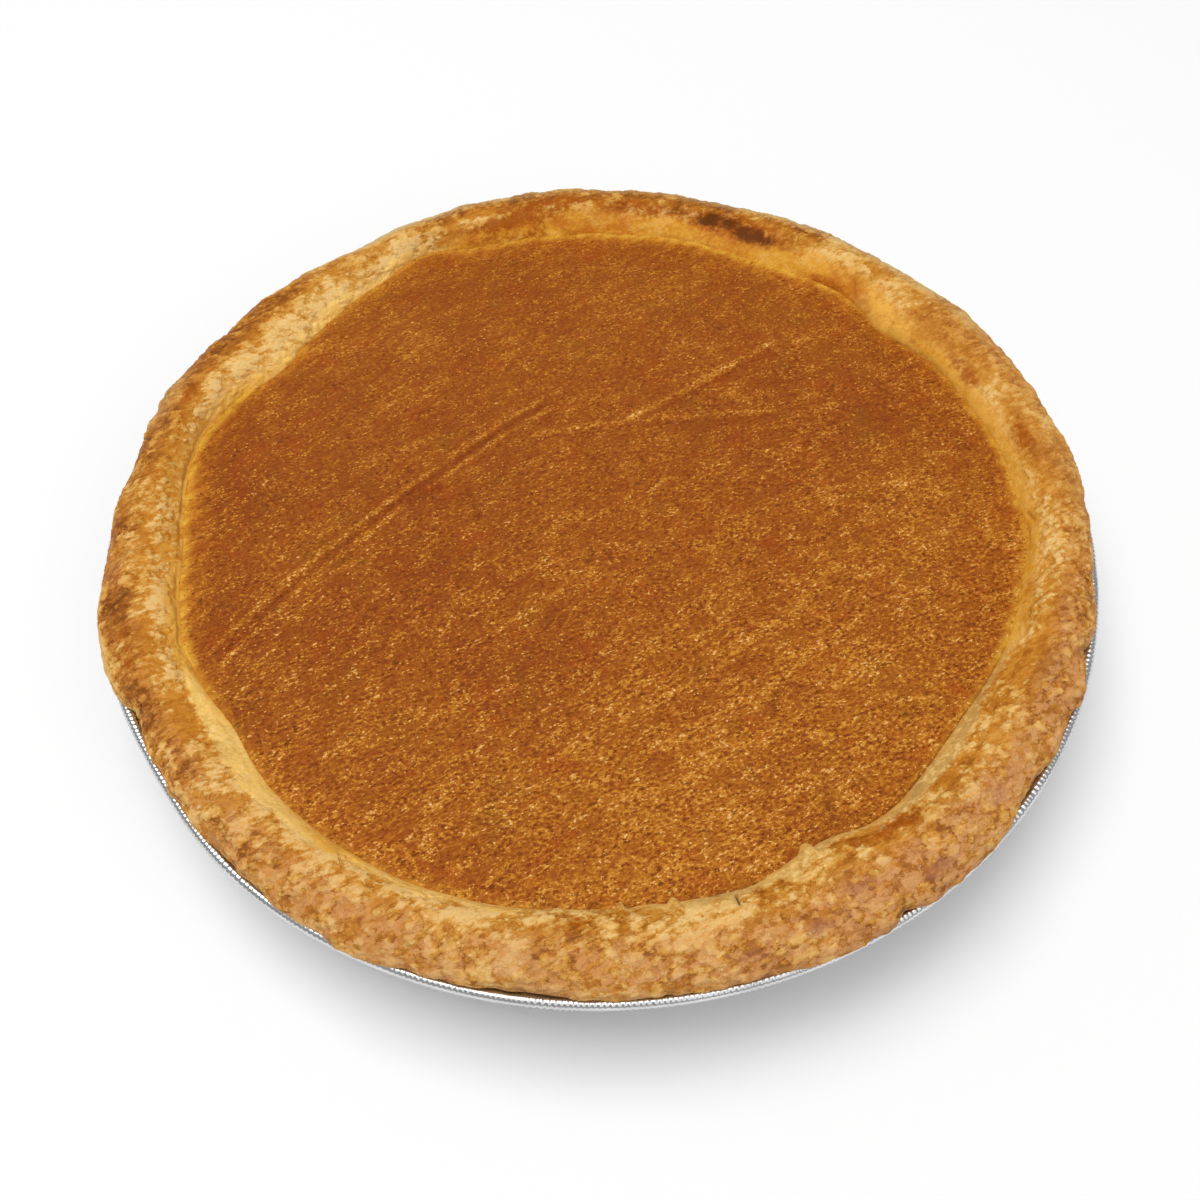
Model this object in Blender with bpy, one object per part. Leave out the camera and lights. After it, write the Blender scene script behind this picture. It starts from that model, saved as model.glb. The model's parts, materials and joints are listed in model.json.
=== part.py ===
"""Pumpkin pie in its own round foil tin, at real size.

Three pieces that lie inside one another: the pressed foil tin with its rolled
bead, the crust that lines the tin and rolls over its flange, and the baked
filling.  All lengths are in metres, +Z is up, and the origin is the middle of
the tin's flat base.
"""

import math

import bmesh
import bpy

# The tin: a flat base, a leaning wall, a narrow flange and a rolled bead.
TIN_RIM_RADIUS = 0.1222
RIM_HEIGHT = 0.0290
BASE_CORNER_CENTRE = (0.0905, 0.0050)
BASE_CORNER_RADIUS = 0.0050
WALL_LEAN = 62.0
FLANGE_FILLET = 0.0020
FOIL = 0.0004
BEAD_RADIUS = 0.0014
FLANGE_ABOVE_BEAD_MIDDLE = 0.0008

# The crust: a thin shell in the tin and a thick smooth roll round the rim.
GAP = 0.0003
SHELL = 0.0035
ROLL_CENTRE_RADIUS = 0.1120
ROLL_CENTRE_HEIGHT = RIM_HEIGHT + 0.0028
ROLL_HALF_WIDTH = 0.0089
ROLL_HALF_HEIGHT = 0.0060
ROLL_SEAT_RADIUS = 0.1189
ROLL_OUTER_END = -8.0
ROLL_INNER_END = 178.0
THICKENING_HEIGHT = 0.0180

# The filling: nearly level, a little proud of the tin's rim.
FILLING_EDGE_HEIGHT = RIM_HEIGHT + 0.0030
FILLING_SWELL = 0.0009
FILLING_RINGS = 5

# How finely the round shapes are faceted.
TIN_SEGMENTS = 60
FOOD_SEGMENTS = 120
CORNER_STEPS = 2
BEAD_STEPS = 9
ROLL_STEPS = 9
WELD_DISTANCE = 0.000001
SHARP_ANGLE = math.radians(50.0)

# Where the unevenness acts: the seam of crust and filling, the outer edge and the roll's crown.
SEAM_RADII = (0.0450, 0.0950)
ROLL_FACE_RADII = (0.1040, 0.1110)
SHELL_DEPTHS = (0.0012, 0.0042)
EDGE_LIFT = 0.0008
CROWN_HEIGHTS = (0.0335, 0.0360)

# Unevenness round the pie, as rows of (angle in degrees, half width in degrees, size).
OUTER_EDGE = (
    (6.0, 7.0, 0.0009), (25.0, 5.0, 0.0005), (33.0, 8.0, 0.0012), (44.0, 6.0, -0.0005),
    (57.0, 6.0, 0.0004), (70.0, 9.0, -0.0006), (99.0, 8.0, 0.0011), (120.0, 7.0, -0.0008),
    (127.0, 5.0, -0.0018), (137.0, 4.0, -0.0005), (147.5, 2.5, -0.0007), (156.0, 6.0, 0.0010),
    (165.0, 4.0, 0.0008), (173.0, 4.0, -0.0010), (198.5, 5.5, 0.0016), (208.5, 3.0, -0.0014),
    (228.0, 4.0, -0.0008), (263.0, 7.0, -0.0005), (320.0, 5.0, -0.0006), (345.0, 5.0, -0.0004),
)
INNER_EDGE = (
    (8.0, 8.0, 0.0015), (36.0, 6.0, -0.0024), (62.0, 10.0, -0.0022), (84.0, 5.0, -0.0006),
    (118.0, 6.0, 0.0042), (144.0, 10.0, -0.0034), (167.0, 8.0, 0.0032), (188.0, 6.0, -0.0009),
    (202.0, 5.0, 0.0009), (216.0, 6.0, -0.0012), (245.0, 16.0, 0.0018), (296.5, 5.5, -0.0032),
    (321.0, 13.0, -0.0030), (354.0, 5.0, 0.0024),
)
ROLL_TOP = (
    (20.0, 12.0, -0.0004), (48.0, 9.0, -0.0006), (98.0, 12.0, 0.0004), (125.0, 7.0, -0.0009),
    (150.0, 5.0, -0.0005), (187.0, 2.2, -0.0010), (212.0, 9.0, -0.0005), (238.0, 5.0, -0.0004),
    (292.0, 3.0, -0.0008), (318.0, 8.0, -0.0005), (340.0, 9.0, 0.0003),
)


def clear_scene():
    """Remove every object of the scene that the file opened with."""
    for item in list(bpy.data.objects):
        bpy.data.objects.remove(item, do_unlink=True)


def make_material(name, colour, roughness, metallic=0.0):
    """A Principled BSDF of one colour."""
    material = bpy.data.materials.new(name)
    material.use_nodes = True
    shader = material.node_tree.nodes["Principled BSDF"]
    shader.inputs["Base Color"].default_value = (*colour, 1.0)
    shader.inputs["Roughness"].default_value = roughness
    shader.inputs["Metallic"].default_value = metallic
    return material


def arc(centre, radius, start, end, steps):
    """Points (r, z) of an arc between two angles in degrees, both ends included."""
    points = []
    for step in range(steps + 1):
        angle = math.radians(start + (end - start) * step / steps)
        points.append((centre[0] + radius * math.cos(angle), centre[1] + radius * math.sin(angle)))
    return points


def ramp(value, low, high):
    """Rise smoothly from 0 at low to 1 at high."""
    share = min(1.0, max(0.0, (value - low) / (high - low)))
    return share * share * (3.0 - 2.0 * share)


def swell(angle, rows):
    """Sum of the soft bumps and dents that a table gives at an angle in degrees."""
    total = 0.0
    for centre, half_width, size in rows:
        apart = (angle - centre + 180.0) % 360.0 - 180.0
        total += size * math.exp(-((apart / half_width) ** 2))
    return total


def fillet_centre():
    """Centre (r, z) of the fillet between the tin's wall and the underside of its flange."""
    lean = math.radians(WALL_LEAN)
    height = RIM_HEIGHT + FLANGE_ABOVE_BEAD_MIDDLE - FOIL - FLANGE_FILLET
    reach = BASE_CORNER_RADIUS + FLANGE_FILLET
    reach += (height - BASE_CORNER_CENTRE[1]) * math.cos(lean)
    return (BASE_CORNER_CENTRE[0] + reach / math.sin(lean), height)


def base_and_corner(depth):
    """Base and lower corner, the given depth inside the tin's outer face, axis outwards."""
    corner = arc(BASE_CORNER_CENTRE, BASE_CORNER_RADIUS - depth, -90.0, WALL_LEAN - 90.0, CORNER_STEPS)
    return [(0.0, depth), *corner]


def wall_point(depth, height):
    """Point of the leaning wall at a height, the given depth inside the tin's outer face."""
    lean = math.radians(WALL_LEAN)
    reach = BASE_CORNER_RADIUS - depth + (height - BASE_CORNER_CENTRE[1]) * math.cos(lean)
    return (BASE_CORNER_CENTRE[0] + reach / math.sin(lean), height)


def flange_fillet(depth):
    """Turn from the wall to the flange, the given depth inside the tin's outer face."""
    return arc(fillet_centre(), FLANGE_FILLET + depth, 90.0 + WALL_LEAN, 90.0, CORNER_STEPS)


def depth_in_wall(radius, height):
    """How far a point lies inside the outer face of the tin's leaning wall."""
    lean = math.radians(WALL_LEAN)
    across = (radius - BASE_CORNER_CENTRE[0]) * math.sin(lean)
    return BASE_CORNER_RADIUS - across + (height - BASE_CORNER_CENTRE[1]) * math.cos(lean)


def tin_outline():
    """The foil's section: outer face out to the bead, round it, and the inner face back."""
    bead_centre = (TIN_RIM_RADIUS - BEAD_RADIUS, RIM_HEIGHT)
    flange_top = RIM_HEIGHT + FLANGE_ABOVE_BEAD_MIDDLE
    top_angle = math.degrees(math.asin(FLANGE_ABOVE_BEAD_MIDDLE / BEAD_RADIUS))
    low_angle = math.degrees(math.asin((FLANGE_ABOVE_BEAD_MIDDLE - FOIL) / BEAD_RADIUS))
    bead = arc(bead_centre, BEAD_RADIUS, -180.0 - low_angle, 180.0 - top_angle, BEAD_STEPS)
    bead[-1] = (bead[-1][0], flange_top)
    inner_face = [*base_and_corner(FOIL), *flange_fillet(FOIL)]
    return [*base_and_corner(0.0), *flange_fillet(0.0), *bead, *reversed(inner_face)]


def roll_outline():
    """The roll round the rim, from its seat on the flange over the top to the filling."""
    start, end = ROLL_OUTER_END, ROLL_INNER_END
    points = [(ROLL_SEAT_RADIUS, flange_level())]
    for step in range(ROLL_STEPS + 1):
        angle = math.radians(start + (end - start) * step / ROLL_STEPS)
        across = ROLL_CENTRE_RADIUS + ROLL_HALF_WIDTH * math.cos(angle)
        points.append((across, ROLL_CENTRE_HEIGHT + ROLL_HALF_HEIGHT * math.sin(angle)))
    return points


def flange_level():
    """Height of the crust's underside where it lies on the flange."""
    return RIM_HEIGHT + FLANGE_ABOVE_BEAD_MIDDLE + GAP


def crust_outline():
    """The crust's section: its face on the tin, the roll, and its face on the filling."""
    outer_depth = FOIL + GAP
    inner_depth = outer_depth + SHELL
    outer_face = [*base_and_corner(outer_depth), *flange_fillet(outer_depth)]
    inner_face = [*base_and_corner(inner_depth), wall_point(inner_depth, THICKENING_HEIGHT)]
    return [*outer_face, *roll_outline(), *reversed(inner_face)]


def filling_outline():
    """The filling's section: its face on the crust, then its top back to the axis."""
    depth = FOIL + GAP + SHELL + GAP
    edge_radius = roll_outline()[-1][0] - GAP
    points = [*base_and_corner(depth), wall_point(depth, THICKENING_HEIGHT)]
    for ring in range(FILLING_RINGS + 1):
        share = 1.0 - ring / FILLING_RINGS
        height = FILLING_EDGE_HEIGHT + FILLING_SWELL * math.sin(math.pi * share ** 3)
        points.append((edge_radius * share, height))
    return points


def uneven(radius, height, angle):
    """Where a point of the even, turned crust or filling lies on the real, uneven pie.

    The crust and the filling move by the same rule, so the seam between them stays even.
    The crust's face on the tin, and its seat on the flange, don't move.
    """
    outer = ramp(radius, ROLL_CENTRE_RADIUS, ROLL_CENTRE_RADIUS + ROLL_HALF_WIDTH)
    outer *= ramp(height, flange_level(), flange_level() + EDGE_LIFT)
    inner = ramp(radius, *SEAM_RADII) * (1.0 - ramp(radius, *ROLL_FACE_RADII))
    inner *= ramp(depth_in_wall(radius, height), *SHELL_DEPTHS)
    inner *= ramp(height, THICKENING_HEIGHT, FILLING_EDGE_HEIGHT)
    radius += outer * swell(angle, OUTER_EDGE) + inner * swell(angle, INNER_EDGE)
    height += ramp(height, *CROWN_HEIGHTS) * swell(angle, ROLL_TOP)
    return radius, height


def turn(name, outline, segments, material, shape=None):
    """Spin a section round the Z axis into one closed object, then shape each point."""
    model = bmesh.new()
    points = [model.verts.new((radius, 0.0, height)) for radius, height in outline]
    edges = [model.edges.new(pair) for pair in zip(points, points[1:])]
    bmesh.ops.spin(
        model, geom=points + edges, cent=(0.0, 0.0, 0.0), axis=(0.0, 0.0, 1.0),
        angle=math.tau, steps=segments, use_merge=True, use_duplicate=False,
    )
    bmesh.ops.remove_doubles(model, verts=model.verts, dist=WELD_DISTANCE)
    if shape is not None:
        for point in model.verts:
            angle = math.atan2(point.co.y, point.co.x)
            radius, height = shape(math.hypot(point.co.x, point.co.y), point.co.z, math.degrees(angle))
            point.co = (radius * math.cos(angle), radius * math.sin(angle), height)
    bmesh.ops.triangulate(model, faces=model.faces, quad_method="SHORT_EDGE")
    bmesh.ops.recalc_face_normals(model, faces=model.faces)
    mesh = bpy.data.meshes.new(name)
    model.to_mesh(mesh)
    model.free()
    mesh.shade_smooth()
    mesh.set_sharp_from_angle(angle=SHARP_ANGLE)
    mesh.materials.append(material)
    piece = bpy.data.objects.new(name, mesh)
    bpy.context.scene.collection.objects.link(piece)
    return piece


def build_tin():
    """The pressed foil tin."""
    aluminium = make_material("aluminium_foil", (0.80, 0.80, 0.78), 0.28, 1.0)
    return turn("foil_tin", tin_outline(), TIN_SEGMENTS, aluminium)


def build_crust():
    """The baked crust: the shell in the tin and the roll over its flange."""
    pastry = make_material("baked_pastry", (0.53, 0.27, 0.075), 0.62)
    return turn("crust", crust_outline(), FOOD_SEGMENTS, pastry, uneven)


def build_filling():
    """The set pumpkin filling."""
    custard = make_material("pumpkin_filling", (0.39, 0.12, 0.017), 0.38)
    return turn("filling", filling_outline(), FOOD_SEGMENTS, custard, uneven)


clear_scene()
build_tin()
build_crust()
build_filling()
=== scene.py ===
"""Looks of a whole pumpkin pie in its own foil tin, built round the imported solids.

The crust, the filling and the tin are fine meshes that stand for the three solids.  All
lengths are in metres and all angles round the pie are in degrees, counted from +X.
"""

from __future__ import annotations

import json
import logging
import math
from dataclasses import dataclass, field
from enum import Enum

import bmesh
import bpy
import numpy as np
from mathutils import Matrix, Vector

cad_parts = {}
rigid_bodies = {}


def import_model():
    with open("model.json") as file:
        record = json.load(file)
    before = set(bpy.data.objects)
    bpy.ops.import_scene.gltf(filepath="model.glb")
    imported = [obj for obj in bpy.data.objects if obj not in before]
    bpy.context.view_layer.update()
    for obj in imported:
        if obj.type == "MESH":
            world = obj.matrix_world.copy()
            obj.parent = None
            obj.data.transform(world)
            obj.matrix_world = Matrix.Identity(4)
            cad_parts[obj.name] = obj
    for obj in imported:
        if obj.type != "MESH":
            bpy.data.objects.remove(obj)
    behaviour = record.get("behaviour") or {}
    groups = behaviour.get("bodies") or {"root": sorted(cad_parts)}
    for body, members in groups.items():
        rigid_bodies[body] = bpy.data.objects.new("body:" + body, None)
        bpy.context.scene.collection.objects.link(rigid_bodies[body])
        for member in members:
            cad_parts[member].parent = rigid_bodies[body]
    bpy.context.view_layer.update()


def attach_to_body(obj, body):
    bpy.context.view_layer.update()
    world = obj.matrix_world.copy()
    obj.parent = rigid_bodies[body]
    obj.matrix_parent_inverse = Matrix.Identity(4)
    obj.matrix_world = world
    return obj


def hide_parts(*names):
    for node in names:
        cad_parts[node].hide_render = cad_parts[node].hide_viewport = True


LOG = logging.getLogger("pumpkin_pie")
BODY = "root"
DOUBLES = 0.000002


class Slot(Enum):
    """The record's material slots."""

    TIN = "tin_foil"
    PASTRY = "baked_pastry"
    FILLING = "pumpkin_filling"


# ---------------------------------------------------------------------------
# Small tools: colours, smooth steps, noise and node trees
# ---------------------------------------------------------------------------


def shade(red: int, green: int, blue: int) -> tuple[float, float, float, float]:
    """Turn a colour as the eye reads it, 0 to 255, into the linear colour that shaders use.

    Args:
        red: Red share, 0 to 255.
        green: Green share, 0 to 255.
        blue: Blue share, 0 to 255.

    Returns:
        The linear red, green, blue and an alpha of 1.
    """
    linear = []
    for value in (red, green, blue):
        part = value / 255.0
        linear.append(part / 12.92 if part <= 0.04045 else ((part + 0.055) / 1.055) ** 2.4)
    return (linear[0], linear[1], linear[2], 1.0)


def ramp(value: np.ndarray, low: float, high: float) -> np.ndarray:
    """Rise smoothly from 0 at low to 1 at high."""
    share = np.clip((value - low) / (high - low), 0.0, 1.0)
    return share * share * (3.0 - 2.0 * share)


def apart(angles: np.ndarray, centre: float) -> np.ndarray:
    """Signed distance in degrees from an angle round the pie to each of the others."""
    return (angles - centre + 180.0) % 360.0 - 180.0


class SpaceNoise:
    """Smooth noise in space that gives the same values each run."""

    LATTICE = 256

    def __init__(self, seed: int) -> None:
        """Draw the noise's table of directions.

        Args:
            seed: Number that fixes the table.
        """
        source = np.random.default_rng(seed)
        self.order = source.permutation(self.LATTICE)
        directions = source.normal(size=(self.LATTICE, 3))
        self.directions = directions / np.linalg.norm(directions, axis=1)[:, None]

    def sample(self, points: np.ndarray, size: float) -> np.ndarray:
        """Read the noise at points.

        Args:
            points: Array of n points.
            size: Size of one lump of the noise, in the points' unit.

        Returns:
            Array of n values, about -0.7 to 0.7.
        """
        scaled = points / size
        cell = np.floor(scaled).astype(np.int64)
        inside = scaled - cell
        weight = inside ** 3 * (inside * (inside * 6.0 - 15.0) + 10.0)
        total = np.zeros(len(points))
        for corner in range(8):
            step = np.array([corner & 1, (corner >> 1) & 1, (corner >> 2) & 1])
            spot = (cell + step) % self.LATTICE
            index = self.order[spot[:, 0]]
            index = self.order[(index + spot[:, 1]) % self.LATTICE]
            index = self.order[(index + spot[:, 2]) % self.LATTICE]
            slope = np.einsum("ij,ij->i", self.directions[index], inside - step)
            share = np.where(step == 1, weight, 1.0 - weight).prod(axis=1)
            total += share * slope
        return total

    def layered(self, points: np.ndarray, size: float, layers: int, keep: float = 0.5) -> np.ndarray:
        """Add finer and finer layers of the noise.

        Args:
            points: Array of n points.
            size: Size of the coarsest lumps.
            layers: How many layers are added, each half as large as the last.
            keep: Strength of each layer as a share of the last one's.

        Returns:
            Array of n values.
        """
        total = np.zeros(len(points))
        strength = 1.0
        for layer in range(layers):
            total += strength * self.sample(points + 13.7 * layer * size, size / 2 ** layer)
            strength *= keep
        return total


class Tree:
    """Builds one node tree, of a material or of Geometry Nodes."""

    def __init__(self, tree: bpy.types.NodeTree) -> None:
        """Keep the tree and start with no nodes.

        Args:
            tree: The node tree to fill.
        """
        self.tree = tree
        self.tree.nodes.clear()

    def add(self, kind: str, inputs: dict | None = None, **settings: object) -> bpy.types.Node:
        """Add a node, set its properties and fill its inputs.

        Args:
            kind: Blender's name of the node type.
            inputs: Input names or indexes, each with a value or with a socket to join.
            settings: Properties of the node.

        Returns:
            The new node.
        """
        node = self.tree.nodes.new(kind)
        for name, value in settings.items():
            setattr(node, name, value)
        for key, value in (inputs or {}).items():
            self.feed(node.inputs[key], value)
        return node

    def feed(self, socket: bpy.types.NodeSocket, value: object) -> None:
        """Join a socket to another, or set its value.

        Args:
            socket: The input to fill.
            value: A socket to join it to, or the value that it gets.
        """
        if isinstance(value, bpy.types.NodeSocket):
            self.tree.links.new(value, socket)
        else:
            socket.default_value = value

    def math(self, operation: str, first: object, second: object = 0.0) -> bpy.types.NodeSocket:
        """Add a math node and return its result."""
        return self.add("ShaderNodeMath", {0: first, 1: second}, operation=operation).outputs[0]

    def vector(self, operation: str, first: object, second: object = (0.0, 0.0, 0.0)) -> bpy.types.NodeSocket:
        """Add a vector math node and return its vector."""
        node = self.add("ShaderNodeVectorMath", {0: first, 1: second}, operation=operation)
        return node.outputs[0]

    def scaled(self, vector: object, factor: object) -> bpy.types.NodeSocket:
        """Return a vector times a number."""
        return self.add("ShaderNodeVectorMath", {0: vector, "Scale": factor}, operation="SCALE").outputs[0]

    def split(self, vector: object) -> bpy.types.bpy_prop_collection:
        """Return the three numbers of a vector as sockets."""
        return self.add("ShaderNodeSeparateXYZ", {0: vector}).outputs

    def mapped(self, value: object, low: float, high: float, to_low: float = 0.0,
               to_high: float = 1.0) -> bpy.types.NodeSocket:
        """Map a range of a number smoothly on to another range.

        Args:
            value: Socket with the number.
            low: Start of the number's range.
            high: End of the number's range.
            to_low: Result at the start and below it.
            to_high: Result at the end and above it.

        Returns:
            The socket with the result.
        """
        inputs = {"Value": value, "From Min": low, "From Max": high, "To Min": to_low, "To Max": to_high}
        node = self.add("ShaderNodeMapRange", inputs, interpolation_type="SMOOTHSTEP")
        return node.outputs["Result"]

    def noise(self, vector: object, scale: float, detail: float = 2.0, roughness: float = 0.5,
              distortion: float = 0.0) -> bpy.types.NodeSocket:
        """Add a noise texture and return its grey value.

        Args:
            vector: Socket that gives the place.
            scale: Lumps in a metre.
            detail: Number of finer layers.
            roughness: Strength of the finer layers.
            distortion: How far the pattern is stirred.

        Returns:
            The socket with values around 0.5.
        """
        inputs = {"Vector": vector, "Scale": scale, "Detail": detail, "Roughness": roughness}
        inputs["Distortion"] = distortion
        return self.add("ShaderNodeTexNoise", inputs).outputs[0]

    def stirred(self, vector: object, scale: float, amount: float) -> bpy.types.NodeSocket:
        """Stir a place by a noise, so that a pattern read there gets ragged edges.

        Args:
            vector: Socket that gives the place.
            scale: Lumps in a metre.
            amount: Length of the push for a full step of the noise, in metres.

        Returns:
            The socket with the stirred place.
        """
        inputs = {"Vector": vector, "Scale": scale, "Detail": 2.0, "Roughness": 0.7}
        push = self.add("ShaderNodeTexNoise", inputs).outputs["Color"]
        push = self.scaled(self.vector("SUBTRACT", push, (0.5, 0.5, 0.5)), amount)
        return self.vector("ADD", vector, push)

    def cells(self, vector: object, scale: float) -> tuple[bpy.types.NodeSocket, bpy.types.NodeSocket]:
        """Fill space with cells of random size.

        Args:
            vector: Socket that gives the place.
            scale: Cells in a metre.

        Returns:
            Sockets with the distance to the nearest cell's middle, in cells, and with that
            cell's own random number from 0 to 1.
        """
        cells = self.add("ShaderNodeTexVoronoi", {"Vector": vector, "Scale": scale}, feature="F1")
        return cells.outputs["Distance"], self.split(cells.outputs["Color"])[0]

    def total(self, *terms: object) -> bpy.types.NodeSocket:
        """Add up numbers, each given as a socket or as a pair of socket and factor.

        Args:
            terms: Sockets, numbers, or pairs (socket, factor).

        Returns:
            The socket with the sum.
        """
        result = None
        for term in terms:
            if isinstance(term, tuple):
                term = self.math("MULTIPLY", *term)
            result = term if result is None else self.math("ADD", result, term)
        return result

    def blend(self, share: object, first: object, second: object) -> bpy.types.NodeSocket:
        """Mix two colours.

        Args:
            share: Share of the second colour, 0 to 1.
            first: The first colour or its socket.
            second: The second colour or its socket.

        Returns:
            The socket with the mixed colour.
        """
        node = self.add("ShaderNodeMix", data_type="RGBA", blend_type="MIX")
        self.feed(node.inputs[0], share)
        self.feed(node.inputs[6], first)
        self.feed(node.inputs[7], second)
        return node.outputs[2]

    def steps(self, value: object, stops: tuple) -> bpy.types.NodeSocket:
        """Colour a number by a ramp.

        Args:
            value: Socket with the number.
            stops: Rows of (place from 0 to 1, colour), in rising order.

        Returns:
            The socket with the colour.
        """
        node = self.add("ShaderNodeValToRGB", {0: value})
        node.color_ramp.interpolation = "LINEAR"
        elements = node.color_ramp.elements
        elements.remove(elements[1])
        elements[0].position, elements[0].color = stops[0]
        for place, colour in stops[1:]:
            elements.new(place).color = colour
        return node.outputs[0]


class MaterialTree(Tree):
    """A material with a Principled BSDF, filled node by node."""

    def __init__(self, name: str, roughness: float, specular: float = 0.5) -> None:
        """Make the material and its shader.

        Args:
            name: The material's name.
            roughness: Roughness all over, unless it is joined later.
            specular: Specular level all over.
        """
        self.material = bpy.data.materials.new(name)
        self.material.use_nodes = True
        super().__init__(self.material.node_tree)
        inputs = {"Roughness": roughness, "Specular IOR Level": specular}
        self.shader = self.add("ShaderNodeBsdfPrincipled", inputs)
        self.add("ShaderNodeOutputMaterial", {"Surface": self.shader.outputs[0]})

    def place(self) -> bpy.types.NodeSocket:
        """Return the place on the object, in metres."""
        return self.add("ShaderNodeTexCoord").outputs["Object"]

    def number(self, name: str) -> bpy.types.NodeSocket:
        """Return the number that the mesh keeps under a name."""
        return self.add("ShaderNodeAttribute", attribute_name=name).outputs["Fac"]

    def triple(self, name: str) -> bpy.types.NodeSocket:
        """Return the vector that the mesh keeps under a name."""
        return self.add("ShaderNodeAttribute", attribute_name=name).outputs["Vector"]

    def bump(self, height: object, distance: float, strength: float = 1.0,
             below: object = None) -> bpy.types.NodeSocket:
        """Add a bump node and return its normal.

        Args:
            height: Socket with a height from 0 to 1.
            distance: Real height in metres of a step from 0 to 1.
            strength: Share of the bump that is used.
            below: Normal of a coarser bump, or None.

        Returns:
            The socket with the bent normal.
        """
        node = self.add("ShaderNodeBump", {"Height": height, "Distance": distance, "Strength": strength})
        if below is not None:
            self.feed(node.inputs["Normal"], below)
        return node.outputs[0]


def mesh_from(name: str, points: np.ndarray, faces: list | np.ndarray) -> bpy.types.Mesh:
    """Make a mesh whose faces all point outwards.

    Args:
        name: The mesh's name.
        points: Array of n points.
        faces: Lists of point indexes.

    Returns:
        The mesh, shaded smooth.
    """
    mesh = bpy.data.meshes.new(name)
    mesh.from_pydata(points.tolist(), [], [tuple(int(i) for i in face) for face in faces])
    model = bmesh.new()
    model.from_mesh(mesh)
    bmesh.ops.recalc_face_normals(model, faces=model.faces)
    model.to_mesh(mesh)
    model.free()
    mesh.shade_smooth()
    return mesh


def add_object(name: str, mesh: bpy.types.Mesh) -> bpy.types.Object:
    """Put a mesh into the scene as an object at the origin.

    Args:
        name: The object's name.
        mesh: Its mesh.

    Returns:
        The object.
    """
    item = bpy.data.objects.new(name, mesh)
    bpy.context.scene.collection.objects.link(item)
    return item


def store(mesh: bpy.types.Mesh, name: str, values: np.ndarray) -> None:
    """Keep one number or one vector for each point of a mesh.

    Args:
        mesh: The mesh.
        name: The attribute's name.
        values: Array of n numbers, or of n rows of three.
    """
    kind, key = ("FLOAT", "value") if values.ndim == 1 else ("FLOAT_VECTOR", "vector")
    attribute = mesh.attributes.new(name, kind, "POINT")
    attribute.data.foreach_set(key, np.ascontiguousarray(values, dtype=np.float32).ravel())


class GeometryTree(Tree):
    """A Geometry Nodes tree with named inputs, for one modifier."""

    def __init__(self, name: str) -> None:
        """Make the tree with one geometry input and one geometry output.

        Args:
            name: The tree's name.
        """
        group = bpy.data.node_groups.new(name, "GeometryNodeTree")
        super().__init__(group)
        group.interface.new_socket("Geometry", in_out="INPUT", socket_type="NodeSocketGeometry")
        group.interface.new_socket("Geometry", in_out="OUTPUT", socket_type="NodeSocketGeometry")
        self.entry = self.add("NodeGroupInput")
        self.values: dict[str, object] = {}

    def size(self, name: str, value: object, kind: str = "NodeSocketFloat") -> bpy.types.NodeSocket:
        """Add a named input.

        Args:
            name: The input's name.
            value: The value that the modifier gives it.
            kind: Blender's name of the socket type.

        Returns:
            The socket inside the tree.
        """
        socket = self.tree.interface.new_socket(name, in_out="INPUT", socket_type=kind)
        self.values[socket.identifier] = value
        return self.entry.outputs[name]

    def kept(self, name: str, kind: str = "FLOAT_VECTOR") -> bpy.types.NodeSocket:
        """Return what the mesh keeps for each point under a name."""
        return self.add("GeometryNodeInputNamedAttribute", {"Name": name}, data_type=kind).outputs[0]

    def finish(self, geometry: bpy.types.NodeSocket, material: bpy.types.Material) -> None:
        """End the tree with Realize Instances and Set Material.

        Args:
            geometry: The finished shape.
            material: What it is made of.
        """
        real = self.add("GeometryNodeRealizeInstances", {"Geometry": geometry})
        dressed = self.add("GeometryNodeSetMaterial", {"Geometry": real.outputs[0], "Material": material})
        self.add("NodeGroupOutput", {0: dressed.outputs[0]})

    def bake(self, name: str, mesh: bpy.types.Mesh) -> bpy.types.Object:
        """Run the tree on a mesh and keep the result as a plain mesh.

        Args:
            name: The name of the finished object.
            mesh: The mesh that enters the tree.

        Returns:
            The finished object, with no modifier.
        """
        item = add_object(name, mesh)
        modifier = item.modifiers.new(name, "NODES")
        modifier.node_group = self.tree
        for identifier, value in self.values.items():
            modifier[identifier] = value
        bpy.context.view_layer.update()
        graph = bpy.context.evaluated_depsgraph_get()
        finished = bpy.data.meshes.new_from_object(item.evaluated_get(graph), depsgraph=graph)
        item.modifiers.clear()
        item.data = finished
        finished.name = name
        return item


def close_up(mesh: bpy.types.Mesh) -> None:
    """Merge a mesh's doubles, turn all its faces outwards and shade it smooth.

    Args:
        mesh: The mesh, changed in place.
    """
    model = bmesh.new()
    model.from_mesh(mesh)
    bmesh.ops.remove_doubles(model, verts=model.verts, dist=DOUBLES)
    bmesh.ops.recalc_face_normals(model, faces=model.faces)
    model.to_mesh(mesh)
    model.free()
    mesh.shade_smooth()


# ---------------------------------------------------------------------------
# The uneven round shape that the crust and the filling share
# ---------------------------------------------------------------------------


def around(angles: np.ndarray, rows: tuple) -> np.ndarray:
    """Read a table of (angle, value) rows all the way round the pie.

    Args:
        angles: Array of angles.
        rows: The table, in rising order of angle.

    Returns:
        Array of values, straight between the table's rows.
    """
    table = np.array(rows)
    return np.interp(angles, table[:, 0], table[:, 1], period=360.0)


def swell(angles: np.ndarray, rows: tuple) -> np.ndarray:
    """Add up the soft bumps and dents of a table.

    Args:
        angles: Array of angles.
        rows: Rows of (angle, half width in degrees, size).

    Returns:
        Array of sums.
    """
    total = np.zeros_like(angles, dtype=float)
    for centre, half_width, size in rows:
        total += size * np.exp(-((apart(angles, centre) / half_width) ** 2))
    return total


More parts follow.
